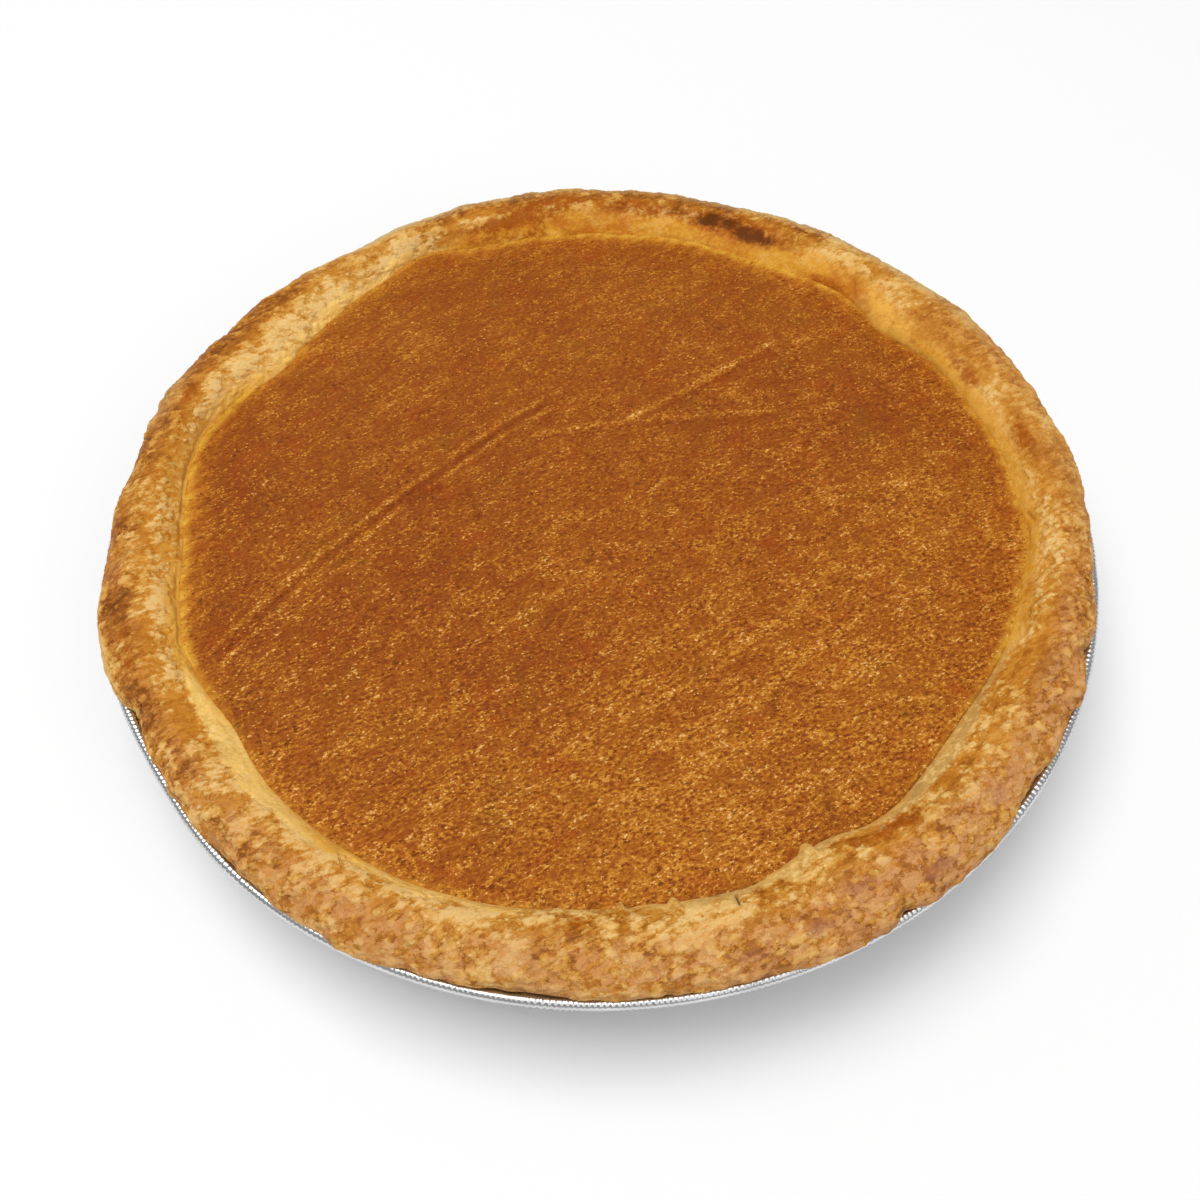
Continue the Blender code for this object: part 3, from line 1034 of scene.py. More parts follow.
@dataclass
class Crust:
    """The baked crust: its shell in the tin, the uneven roll, its creases and its torn edge.

    The places across the roll run from -1 at its outer edge over 0 at its crown to 1 at the
    filling.  The widths are counted in the same unit, from the filling outwards.  Rows of baking,
    scorching, embers and smudges hold (angle, across, half angle, half across, amount); in
    baking an amount above 0 browns the crust and one below 0 leaves it pale.  Rows of
    overhangs hold (angle, half width, step) of the outer edge.
    """

    shape: PieShape
    columns: int = 1280
    roll_rows: int = 60
    roll_from: float = -14.0
    roll_turn: float = 192.0
    wall_top: float = 0.0262
    pleat_room: float = 0.0010
    shoulder: tuple = ((0.1054, 0.0286), (0.1078, 0.0306))
    core_drop: float = 0.002
    lump_size: float = 0.017
    lump_height: float = 0.0011
    lump_levels: tuple[float, float] = (0.0312, 0.0335)
    wave_radius: float = 0.12
    waves: tuple = ((0.011, 0.0004), (0.0035, 0.0006))
    grain_turn: float = 24.0
    grain_stretch: float = 0.80
    cloud_size: float = 0.0064
    broad_size: float = 0.0130
    full_shade_depth: float = 0.0011
    flake_lift: float = 0.00034
    crumb_lift: float = 0.00012
    crumb_scale: float = 700.0
    lift_levels: tuple[float, float] = (0.0306, 0.0318)
    ceiling: float = 0.0371
    headroom: float = 0.0010
    paleness: float = 0.07
    finish: PastryFinish = field(default_factory=PastryFinish)
    inner_bulge: tuple = (
        (0.0, 0.55), (20.0, 0.55), (36.0, 0.25), (45.0, 0.35), (55.0, 0.80), (90.0, 0.75), (108.0, 0.65),
        (125.0, 0.55), (160.0, 0.55), (200.0, 0.50), (214.0, 0.80), (232.0, 0.65), (262.0, 0.35),
        (300.0, 0.45), (312.0, 0.75), (330.0, 0.65), (345.0, 0.55),
    )
    bare_width: tuple = (
        (29.0, 0.0), (33.0, 0.24), (43.5, 0.28), (45.5, 0.0), (205.0, 0.0), (209.0, 0.40), (214.0, 0.52),
        (226.0, 0.42), (234.0, 0.27), (246.0, 0.18), (258.0, 0.16), (264.0, 0.06), (270.0, 0.10),
        (280.0, 0.20), (291.0, 0.32), (296.0, 0.24), (300.0, 0.10), (304.0, 0.14), (309.0, 0.34),
        (316.0, 0.38), (322.0, 0.22), (330.0, 0.15), (338.0, 0.11), (344.0, 0.0),
    )
    stain_width: tuple = (
        (3.0, 0.20), (12.0, 0.20), (26.0, 0.30), (36.0, 0.36), (46.0, 0.55), (56.0, 0.55), (74.0, 0.55),
        (90.0, 0.60), (110.0, 0.50), (114.0, 0.0), (119.0, -0.25), (145.0, -0.25), (152.0, -0.05),
        (170.0, 0.06), (205.0, 0.10), (210.0, -0.1), (230.0, -0.12), (234.0, 0.06), (237.5, 0.26),
        (241.0, 0.10), (246.0, -0.04), (258.0, -0.04), (264.0, -0.04), (335.0, 0.0), (342.0, 0.20),
        (354.0, 0.20),
    )
    old_wall: tuple = (
        (0.0, 0.2), (30.0, 0.1), (200.0, 0.0), (232.0, 0.1), (262.0, 0.3), (276.0, 0.7), (290.0, 0.6),
        (300.0, 1.0), (330.0, 1.0),
    )
    pinkness: tuple = (
        (0.0, 0.3), (30.0, 0.3), (45.0, 0.0), (180.0, 0.1), (215.0, 0.3), (235.0, 0.9), (285.0, 1.0),
        (300.0, 1.3), (325.0, 1.2), (345.0, 0.6),
    )
    goldenness: tuple = (
        (0.0, 0.25), (20.0, 0.10), (45.0, 0.15), (88.0, 0.40), (110.0, 0.40), (118.0, 0.05), (140.0, 0.10),
        (150.0, 0.40), (170.0, 0.30), (190.0, 0.60), (205.0, 0.55), (222.0, 0.35), (240.0, 0.50),
        (256.0, 0.35), (264.0, 0.05), (300.0, 0.10), (312.0, 0.20), (325.0, 0.35), (345.0, 0.35),
    )
    creaminess: tuple = (
        (0.0, 0.15), (20.0, 0.10), (32.0, 0.45), (44.0, 0.75), (66.0, 0.80), (80.0, 0.55), (92.0, 0.40),
        (102.0, 0.60), (114.0, 0.95), (122.0, 0.90), (130.0, 0.35), (138.0, 0.0), (156.0, 0.0),
        (160.0, 0.45), (165.0, 0.30), (169.0, 0.0), (345.0, 0.0),
    )
    crispness: tuple = (
        (0.0, 0.75), (10.0, 0.60), (30.0, 0.60), (46.0, 0.70), (56.0, 0.80), (110.0, 0.80), (122.0, 0.75),
        (165.0, 0.80), (185.0, 0.90), (205.0, 1.0), (345.0, 0.95),
    )
    baking: tuple = (
        (176.0, 0.10, 8.0, 0.22, 0.8), (188.0, 0.10, 6.0, 0.20, 1.0), (340.0, 0.10, 6.0, 0.25, 0.9),
        (200.0, -0.98, 8.0, 0.16, -2.2), (209.5, -0.70, 6.5, 0.30, 0.7), (24.0, 0.0, 5.0, 0.35, 0.35),
        (70.0, 0.60, 4.0, 0.35, 0.5), (60.0, 0.75, 3.5, 0.25, -0.5), (10.0, 0.20, 5.0, 0.45, 0.7),
        (216.0, -0.30, 5.0, 0.40, 1.1), (30.0, 0.45, 4.5, 0.30, 0.4), (214.0, 0.10, 8.0, 0.60, 0.45),
        (110.0, 0.80, 4.0, 0.30, 1.4), (31.0, 0.60, 5.0, 0.30, 0.6), (8.0, 0.45, 8.0, 0.40, 0.5),
        (2.0, -0.30, 5.0, 0.30, 0.9), (65.0, 0.50, 7.0, 0.35, 1.1), (60.0, 0.10, 4.0, 0.25, 0.6),
        (51.0, 0.25, 4.5, 0.45, -0.8), (59.0, 0.75, 3.0, 0.25, -0.5), (101.0, 0.15, 7.0, 0.25, 0.6),
        (150.0, 0.15, 5.0, 0.25, 0.5), (356.0, 0.10, 6.0, 0.35, 0.6), (10.0, 0.20, 6.0, 0.25, 0.5),
        (191.0, 0.70, 4.0, 0.25, -0.5), (240.0, 0.65, 5.0, 0.25, -0.5), (47.0, 0.40, 4.0, 0.30, -0.6),
        (170.0, 0.95, 5.0, 0.15, 0.7), (24.0, 0.95, 9.0, 0.15, 0.5), (93.0, 0.95, 9.0, 0.12, 0.5),
        (210.0, 0.72, 5.0, 0.22, 1.0), (300.0, 0.72, 3.5, 0.20, 0.7), (321.0, 0.45, 5.0, 0.20, 0.7),
        (331.0, 0.70, 6.0, 0.40, 0.7), (311.0, 0.70, 4.0, 0.20, 0.6), (62.0, 0.20, 4.0, 0.40, 0.6),
        (50.0, 0.85, 4.0, 0.30, 1.4), (70.0, 0.70, 5.0, 0.25, 0.5), (121.0, 0.75, 5.0, 0.28, -1.0),
        (131.0, 0.95, 6.0, 0.15, -0.8), (260.0, 0.70, 4.0, 0.25, -0.6), (270.0, 0.72, 3.0, 0.20, -0.6),
        (271.0, -0.20, 5.0, 0.35, 0.5), (31.0, 0.75, 4.0, 0.25, 0.5), (280.0, 0.95, 6.0, 0.12, 0.6),
        (208.0, -0.50, 5.0, 0.40, 0.5), (250.0, 0.95, 4.5, 0.15, 1.2), (163.0, 0.45, 4.0, 0.25, -0.5),
        (3.0, 0.5, 2.0, 0.3, -0.4), (8.0, 0.3, 4.0, 0.4, 0.6), (14.5, 0.7, 1.6, 0.3, -0.7),
        (22.0, 0.55, 4.5, 0.35, 0.7), (32.0, 0.30, 5.0, 0.5, 0.8), (43.0, 0.45, 4.0, 0.4, -0.6),
        (49.0, 0.10, 3.0, 0.4, -0.2), (60.0, -0.7, 12.0, 0.3, -0.6), (103.0, 0.6, 11.0, 0.35, 0.5),
        (93.0, 0.5, 4.0, 0.25, -1.1), (119.0, 0.5, 4.5, 0.5, -0.9), (148.0, 0.40, 11.0, 0.28, -0.8),
        (14.0, -0.30, 6.0, 0.30, -0.7), (90.0, -0.80, 9.0, 0.35, -1.2), (121.0, -0.60, 7.0, 0.40, -1.2),
        (108.0, -0.85, 6.0, 0.25, -0.8), (134.0, -0.85, 5.0, 0.25, -0.6), (40.0, 0.60, 3.5, 0.35, -0.9),
        (68.0, 0.75, 6.0, 0.20, 0.4), (126.0, 0.5, 2.5, 0.3, 0.4), (138.0, 0.65, 13.0, 0.4, -0.9),
        (142.0, -0.2, 12.0, 0.4, 0.4), (155.0, 0.5, 5.0, 0.5, -0.4), (163.0, 0.0, 4.0, 0.5, 0.7),
        (172.0, 0.6, 6.0, 0.3, 0.6), (176.0, 0.3, 4.0, 0.5, 0.4), (184.0, 0.3, 3.5, 0.4, -0.6),
        (193.0, 0.6, 6.0, 0.35, -0.6), (200.0, -0.4, 5.0, 0.5, 1.1), (203.0, 0.45, 4.0, 0.35, -0.7),
        (207.0, 0.0, 3.0, 0.4, 0.4), (212.5, 0.95, 4.0, 0.4, -1.2), (212.0, 0.30, 4.0, 0.25, 0.7),
        (221.5, 0.35, 4.0, 0.4, -0.9), (232.0, -0.4, 5.0, 0.4, 0.4), (236.0, 0.65, 8.0, 0.3, -0.7),
        (245.0, -0.4, 6.0, 0.5, 0.5), (255.0, 0.4, 5.0, 0.5, -0.6), (265.0, 0.15, 3.0, 0.3, 0.6),
        (267.0, 0.50, 4.0, 0.30, 0.6), (279.0, 0.4, 5.0, 0.5, -1.1), (292.0, -0.4, 9.0, 0.5, 0.4),
        (293.0, 0.4, 4.0, 0.3, -0.3), (303.0, 0.35, 4.0, 0.4, 0.8), (312.0, 0.45, 4.0, 0.3, 0.4),
        (322.0, 0.1, 5.0, 0.3, -0.3), (333.0, 0.5, 7.0, 0.4, 0.5), (340.0, 0.0, 6.0, 0.4, 0.5),
        (353.0, 0.45, 6.0, 0.5, -0.7), (0.0, 0.10, 4.0, 0.4, 0.4),
    )
    # Painted shade on the roll's outer slope, by angle: it darkens the slope most on the far side, which
    # faces away from the light.
    outer_shading: tuple = (
        (0.0, 0.25), (12.0, 0.20), (20.0, 0.40), (30.0, 0.55), (48.0, 0.35), (60.0, 0.90), (80.0, 1.40),
        (90.0, 1.15), (105.0, 1.45), (122.0, 0.35), (132.0, 0.60), (142.0, 1.35), (160.0, 1.15),
        (180.0, 0.45), (192.0, 0.50), (205.0, 0.35), (222.0, 0.10), (240.0, 0.15), (252.0, 0.05),
        (270.0, 0.20), (290.0, 0.35), (303.0, 0.80), (315.0, 0.05), (330.0, 0.65), (345.0, 0.65),
        (353.0, 0.60),
    )
    glaze: tuple = (
        (0.0, 0.60), (15.0, 0.65), (30.0, 0.50), (45.0, 0.30), (105.0, 0.25), (113.0, 0.50), (125.0, 0.65),
        (140.0, 0.60), (150.0, 0.70), (165.0, 0.80), (178.0, 0.50), (188.0, 0.60), (205.0, 0.75),
        (215.0, 0.30), (232.0, 0.50), (242.0, 0.85), (256.0, 0.45), (270.0, 0.35), (282.0, 0.10),
        (300.0, 0.0), (330.0, 0.10), (342.0, 0.55),
    )
    scorching: tuple = (
        (61.0, 0.50, 3.2, 0.22, 0.66), (65.0, 0.42, 3.0, 0.24, 0.85), (68.5, 0.28, 3.4, 0.28, 1.00),
        (72.5, 0.38, 3.0, 0.24, 0.80), (78.0, 0.30, 3.2, 0.26, 0.78), (86.0, 0.22, 2.8, 0.28, 0.62),
    )
    embers: tuple = (
        (305.0, 0.60, 3.4, 0.20, 1.1), (299.3, 0.66, 1.4, 0.12, 0.8), (105.0, 0.55, 8.0, 0.20, 0.8),
        (97.0, 0.15, 9.0, 0.35, 0.8), (82.0, 0.30, 5.0, 0.35, 0.7), (67.0, 0.35, 7.0, 0.32, 0.9),
        (266.0, 0.60, 3.6, 0.30, 0.6), (23.0, 0.62, 4.0, 0.25, 0.7), (9.0, 0.40, 3.5, 0.40, 0.6),
        (35.0, 0.42, 2.0, 0.15, 0.5), (103.0, 0.92, 9.0, 0.16, 0.6), (50.0, 0.95, 4.0, 0.15, 0.5),
        (201.0, -0.45, 5.0, 0.35, 0.5), (161.0, -0.10, 3.0, 0.30, 0.5),
    )
    smudges: tuple = (
        (290.9, -0.45, 2.0, 0.16, 0.9), (296.7, -0.10, 1.8, 0.14, 0.9), (304.9, -0.62, 2.4, 0.16, 1.1),
        (314.5, -0.43, 3.0, 0.2, 0.8), (283.0, -0.6, 6.0, 0.3, 0.5), (322.0, -0.3, 4.0, 0.3, 0.5),
    )
    overhangs: tuple = (
        (207.3, 0.8, -0.0006), (212.0, 5.0, -0.0012), (219.0, 3.5, -0.0010), (226.0, 4.0, -0.0004),
        (237.5, 2.6, 0.0005), (245.5, 3.6, 0.0012), (292.5, 5.8, 0.0012), (298.0, 1.0, 0.0007),
        (303.0, 1.4, 0.0006), (308.5, 6.4, 0.0012), (328.5, 2.4, -0.0007), (332.6, 1.4, 0.0005),
        (337.8, 2.0, -0.0010), (350.0, 5.5, -0.0007),
    )
    creases: tuple = (
        Crease((193.2, -0.10), (195.4, -0.86), 0.00045, 0.0008, 0.0003),
        Crease((187.0, 0.93), (204.0, 0.94), 0.00035, 0.0003),
        Crease((163.0, 0.95), (187.0, 0.93), 0.00035, 0.0004),
        Crease((284.2, 0.50), (284.5, 0.92), 0.00050, 0.0011, 0.0002),
        Crease((355.2, 0.80), (357.2, 0.93), 0.00035, 0.0005, 0.0001),
        Crease((45.0, 0.98), (46.2, 0.60), 0.00060, 0.0006),
        Crease((300.0, 0.80), (313.0, 0.44), 0.00050, 0.0004, 0.0002),
        Crease((313.0, 0.44), (322.0, 0.52), 0.00050, 0.0003, 0.0002),
        Crease((186.6, 0.4), (187.0, -0.9), 0.00120, 0.0005),
        Crease((168.8, -0.6), (168.2, -1.0), 0.00060, 0.0009),
        Crease((208.0, -0.75), (208.9, -1.0), 0.00060, 0.0012),
        Crease((227.0, -0.60), (228.3, -0.95), 0.00040, 0.0005),
        Crease((252.0, -0.70), (253.0, -0.95), 0.00040, 0.0004),
        Crease((71.8, 0.55), (70.9, -0.20), 0.00070, 0.0006),
        Crease((231.5, -1.0), (235.5, -1.0), 0.00055, 0.0005),
        Crease((258.5, -1.0), (266.0, -1.0), 0.00055, 0.0005),
        Crease((275.0, -1.0), (276.2, -1.0), 0.00050, 0.0005),
        Crease((286.2, -1.0), (287.2, -1.0), 0.00045, 0.0005),
        Crease((299.2, -0.98), (300.8, -0.98), 0.00060, 0.0006),
        Crease((317.0, -1.0), (322.5, -0.98), 0.00045, 0.0005),
        Crease((337.2, -0.98), (338.8, -0.98), 0.00060, 0.0007),
    )
    flaps: tuple = (
        Flap(271.5, 0.45, 0.0014, 0.0006), Flap(277.5, 0.50, 0.0010, 0.0005),
        Flap(274.5, 1.6, 0.0005, 0.0002), Flap(291.0, 3.0, 0.0006, 0.0003), Flap(294.4, 0.8, 0.0013, 0.0009),
        Flap(38.6, 2.8, 0.0018, 0.0003), Flap(150.5, 4.6, 0.0021, 0.0002),
    )

    def places(self) -> tuple[np.ndarray, np.ndarray, np.ndarray, np.ndarray]:
        """Lay out the roll's points, row by row from the seat to the filling.

        Returns:
            Arrays (rows, columns) of the angle, the place across, the radius and the height.
        """
        shape = self.shape
        turn = np.arange(self.columns) * 360.0 / self.columns
        share = np.linspace(0.0, 1.0, self.roll_rows)
        phase = np.radians(self.roll_from + self.roll_turn * share)[:, None]
        angles = np.broadcast_to(turn, (self.roll_rows, self.columns))
        across = -np.cos(phase) * np.ones_like(angles)
        outer = shape.outer(turn) + self.edge_waves(turn)
        inner = shape.inner(turn)
        for flap in self.flaps:
            inner = inner - flap.reach * np.exp(-((apart(turn, flap.angle) / flap.half_width) ** 4))
        middle = shape.roll_centre[0]
        out_part = middle + np.clip(-across, 0.0, None) * (outer - middle)
        radius = np.where(across < 0.0, out_part, middle - across * (middle - inner))
        bulge = around(turn, self.inner_bulge)
        power = 2.0 - 0.7 * bulge
        root = 1.0 / (2.0 - 0.9 * bulge)
        inward = np.clip(across, 0.0, 1.0)
        rise = np.where(across < 0.0, np.sin(phase), (1.0 - inward ** power) ** root)
        top = swell(turn, shape.roll_top)
        height = shape.roll_centre[1] + rise * (shape.roll_half_height + ramp(rise, 0.3, 0.7) * top)
        for flap in self.flaps:
            near = np.exp(-((apart(turn, flap.angle) / flap.half_width) ** 4))
            height = height + flap.lift * near * ramp(across, 0.75, 1.0)
        return angles, across, radius, height

    def edge_waves(self, angles: np.ndarray) -> np.ndarray:
        """Work out the small irregular waves of the roll's outer edge.

        Args:
            angles: Array of angles.

        Returns:
            Array of shifts of the radius.
        """
        turn = np.radians(angles)
        ring = np.column_stack([np.cos(turn), np.sin(turn), np.zeros_like(turn)]) * self.wave_radius
        noise = SpaceNoise(11)
        (wide, high), (narrow, low) = self.waves
        waves = noise.sample(ring, wide) * high + noise.sample(ring + 0.5, narrow) * low
        for centre, half, step in self.overhangs:
            waves = waves + step * np.exp(-((apart(angles, centre) / half) ** 4))
        return waves

    def build_mesh(self) -> bpy.types.Mesh:
        """Make the closed mesh of the crust and keep its patterns as attributes.

        Returns:
            The mesh.
        """
        shape = self.shape
        angles, across, radius, height = self.places()
        turn = np.radians(angles)
        points = np.stack([radius * np.cos(turn), radius * np.sin(turn), height], axis=-1)
        noise = SpaceNoise(5)
        flat = points.reshape(-1, 3)
        lumps = noise.layered(flat, self.lump_size, 3) * self.lump_height
        lumps = lumps.reshape(across.shape) * ramp(height, *self.lump_levels)
        middle = np.stack([
            shape.roll_centre[0] * np.cos(turn), shape.roll_centre[0] * np.sin(turn),
            np.full_like(turn, shape.roll_centre[1] - self.core_drop),
        ], axis=-1)
        away = points - middle
        away /= np.linalg.norm(away, axis=-1, keepdims=True)
        shift = lumps
        for crease in self.creases:
            shift = shift + self.furrow(crease, angles, across)
        points = points + away * shift[..., None]
        outer_depth = shape.shell_gap
        inner_depth = outer_depth + shape.shell
        outside = [(0.0, outer_depth), *shape.corner(outer_depth, 2)]
        outside.append(shape.wall(outer_depth + self.pleat_room, self.wall_top))
        outside.extend([*self.shoulder, shape.roll_seat])
        inside = [shape.wall(inner_depth, shape.shell_top), *reversed(shape.corner(inner_depth, 2))]
        inside.append((0.0, inner_depth))
        rings = [self.ring(radius, level, turn[0]) for radius, level in outside]
        rings.extend(points)
        rings.extend(self.ring(radius, level, turn[0]) for radius, level in inside)
        grid = np.array(rings)
        rows = len(grid)
        index = np.arange(rows * self.columns).reshape(rows, self.columns)
        beside = np.roll(index, -1, axis=1)
        faces = np.stack([index[:-1], beside[:-1], beside[1:], index[1:]], axis=-1).reshape(-1, 4)
        mesh = mesh_from("crust_mesh", grid.reshape(-1, 3), faces)
        first = len(outside)
        full_across = np.full((rows, self.columns), -1.5)
        full_across[first:first + self.roll_rows] = across
        full_across[first + self.roll_rows:] = 1.5
        full_angles = np.broadcast_to(angles[0], full_across.shape)
        self.paint(mesh, grid.reshape(-1, 3), full_angles, full_across)
        close_up(mesh)
        return mesh

    def ring(self, radius: float, level: float, turn: np.ndarray) -> np.ndarray:
        """One even ring of the shell."""
        return np.column_stack([radius * np.cos(turn), radius * np.sin(turn), np.full_like(turn, level)])

    def furrow(self, crease: Crease, angles: np.ndarray, across: np.ndarray) -> np.ndarray:
        """Depth that one crease cuts at each point of the roll.

        Args:
            crease: The crease.
            angles: Array of angles.
            across: Array of places across.

        Returns:
            Array of shifts along the normal, below zero in the furrow.
        """
        arc = math.radians(1.0) * self.shape.roll_centre[0]
        half = self.shape.roll_half_width
        x = apart(angles, crease.start[0]) * arc
        y = (across - crease.start[1]) * half
        run_x = (crease.end[0] - crease.start[0]) * arc
        run_y = (crease.end[1] - crease.start[1]) * half
        length = math.hypot(run_x, run_y)
        share = np.clip((x * run_x + y * run_y) / length ** 2, 0.0, 1.0)
        side_x, side_y = x - share * run_x, y - share * run_y
        far = np.hypot(side_x, side_y) / crease.width
        taper = 1.0 - 0.6 * np.abs(2.0 * share - 1.0) ** 3
        lip = crease.lip * np.exp(-((far - 2.2) ** 2)) * (side_x * run_y - side_y * run_x > 0.0)
        return taper * (lip - crease.depth * np.exp(-far ** 2))

    def paint(self, mesh: bpy.types.Mesh, points: np.ndarray, angles: np.ndarray, across: np.ndarray) -> None:
        """Keep the patterns that the finish reads.

        Args:
            mesh: The crust's mesh.
            points: Its points.
            angles: Their angles.
            across: Their places across.
        """
        lean = math.radians(self.grain_turn)
        along = points[:, 0] * math.cos(lean) + points[:, 1] * math.sin(lean)
        beside = points[:, 1] * math.cos(lean) - points[:, 0] * math.sin(lean)
        store(mesh, "grain", np.column_stack([along * self.grain_stretch, beside, points[:, 2]]))
        cloud = self.clouds(points, self.cloud_size, 41)
        broad = self.clouds(points, self.broad_size, 43)
        bake = patches(angles, across, self.baking).ravel()
        scorch = patches(angles, across, self.scorching).ravel()
        smudge = patches(angles, across, self.smudges).ravel()
        # Painted shade: the outer slope is darkened and its pale dabs thinned where it faces away from the
        # light.
        outer_shade = (around(angles, self.outer_shading) * ramp(-across, -0.35, 0.15)).ravel()
        flank = (around(angles, self.glaze) * ramp(across, 0.25, 0.85)).ravel()
        pale = 0.38 * cloud - 0.20 * bake - 0.16 * outer_shade - 0.25 * flank + self.paleness
        store(mesh, "masks", np.column_stack([pale, scorch, smudge]))
        bare = across - (1.0 - around(angles, self.bare_width))
        stain = across - (1.0 - around(angles, self.stain_width))
        # Painted shade for each crease, full where its furrow is deepest.
        furrow_shade_share = np.zeros_like(across)
        for crease in self.creases:
            deep = np.clip(-self.furrow(crease, angles, across) / self.full_shade_depth, 0.0, 1.0)
            furrow_shade_share = np.maximum(furrow_shade_share, deep)
        store(mesh, "edges", np.column_stack([bare.ravel(), stain.ravel(), furrow_shade_share.ravel()]))
        grey = around(angles, self.old_wall)
        pink = around(angles, self.pinkness) * ramp(-across, -0.5, 0.3)
        golden = around(angles, self.goldenness) * ramp(across, -0.3, 0.3)
        store(mesh, "hues", np.column_stack([grey.ravel(), pink.ravel(), golden.ravel()]))
        ember = patches(angles, across, self.embers).ravel()
        # The tone is also darkened by the outer slope's painted shade.
        tone = np.clip(0.5 + 0.34 * broad - 0.16 * bake - 0.30 * outer_shade + 0.60 * flank, 0.0, 1.3)
        cream = (around(angles, self.creaminess) * ramp(-across, 0.15, 0.60)).ravel()
        store(mesh, "tints", np.column_stack([tone, ember, cream]))
        store(mesh, "crispness", around(angles, self.crispness).ravel())

    def clouds(self, points: np.ndarray, size: float, seed: int) -> np.ndarray:
        """Broad soft clouds over the crust, about -1 to 1.

        Args:
            points: The crust's points.
            size: Size of the largest clouds.
            seed: Number that fixes them.

        Returns:
            Array of one value for each point.
        """
        return SpaceNoise(seed).layered(points, size, 4, 0.6) * 1.5

    def relief(self, material: bpy.types.Material) -> GeometryTree:
        """Lay the tree that lifts the flakes and roughens the crumb.

        Args:
            material: The pastry.

        Returns:
            The tree, ready to bake.
        """
        tree = GeometryTree("flaky_relief")
        lift = tree.size("Flake lift", self.flake_lift)
        crumb = tree.size("Crumb lift", self.crumb_lift)
        grain = tree.kept("grain")
        pale = tree.split(tree.kept("masks"))[0]
        past_bare, past_stain = tree.split(tree.kept("edges"))[:2]
        fine = tree.noise(grain, self.crumb_scale, 2.0, 0.6)
        level = self.finish.pattern.level(tree, grain, pale)[0]
        raised = tree.mapped(level, -0.12, 0.28, -0.5, 0.5)
        smooth = tree.mapped(past_bare, -0.05, 0.12, 1.0, 0.15)
        smooth = tree.math("MULTIPLY", smooth, tree.mapped(past_stain, -0.15, 0.10, 1.0, 0.35))
        height = tree.math("MULTIPLY", tree.math("MULTIPLY", raised, smooth), lift)
        grit = tree.math("MULTIPLY", tree.math("SUBTRACT", fine, 0.5), crumb)
        height = tree.math("ADD", height, grit)
        place = tree.add("GeometryNodeInputPosition").outputs[0]
        height = tree.math("MULTIPLY", height, tree.mapped(tree.split(place)[2], *self.lift_levels))
        normal = tree.add("GeometryNodeInputNormal").outputs[0]
        inputs = {"Geometry": tree.entry.outputs["Geometry"], "Offset": tree.scaled(normal, height)}
        moved = tree.add("GeometryNodeSetPosition", inputs)
        tree.finish(moved.outputs[0], material)
        return tree

    def build(self) -> bpy.types.Object:
        """Make the crust.

        Returns:
            The finished crust.
        """
        crust = self.relief(self.finish.build()).bake("crust_pastry", self.build_mesh())
        crust.data.shade_smooth()
        points = np.array([tuple(point.co) for point in crust.data.vertices])
        over = np.clip(points[:, 2] - self.ceiling, 0.0, None)
        points[:, 2] += self.headroom * np.tanh(over / self.headroom) - over
        crust.data.vertices.foreach_set("co", points.astype(np.float32).ravel())
        return crust


# ---------------------------------------------------------------------------
# The filling
# ---------------------------------------------------------------------------


@dataclass(frozen=True)
class Ridge:
    """A line raised from the filling's skin, or cut into it, through places (x, y)."""

    path: tuple
    width: float
    height: float


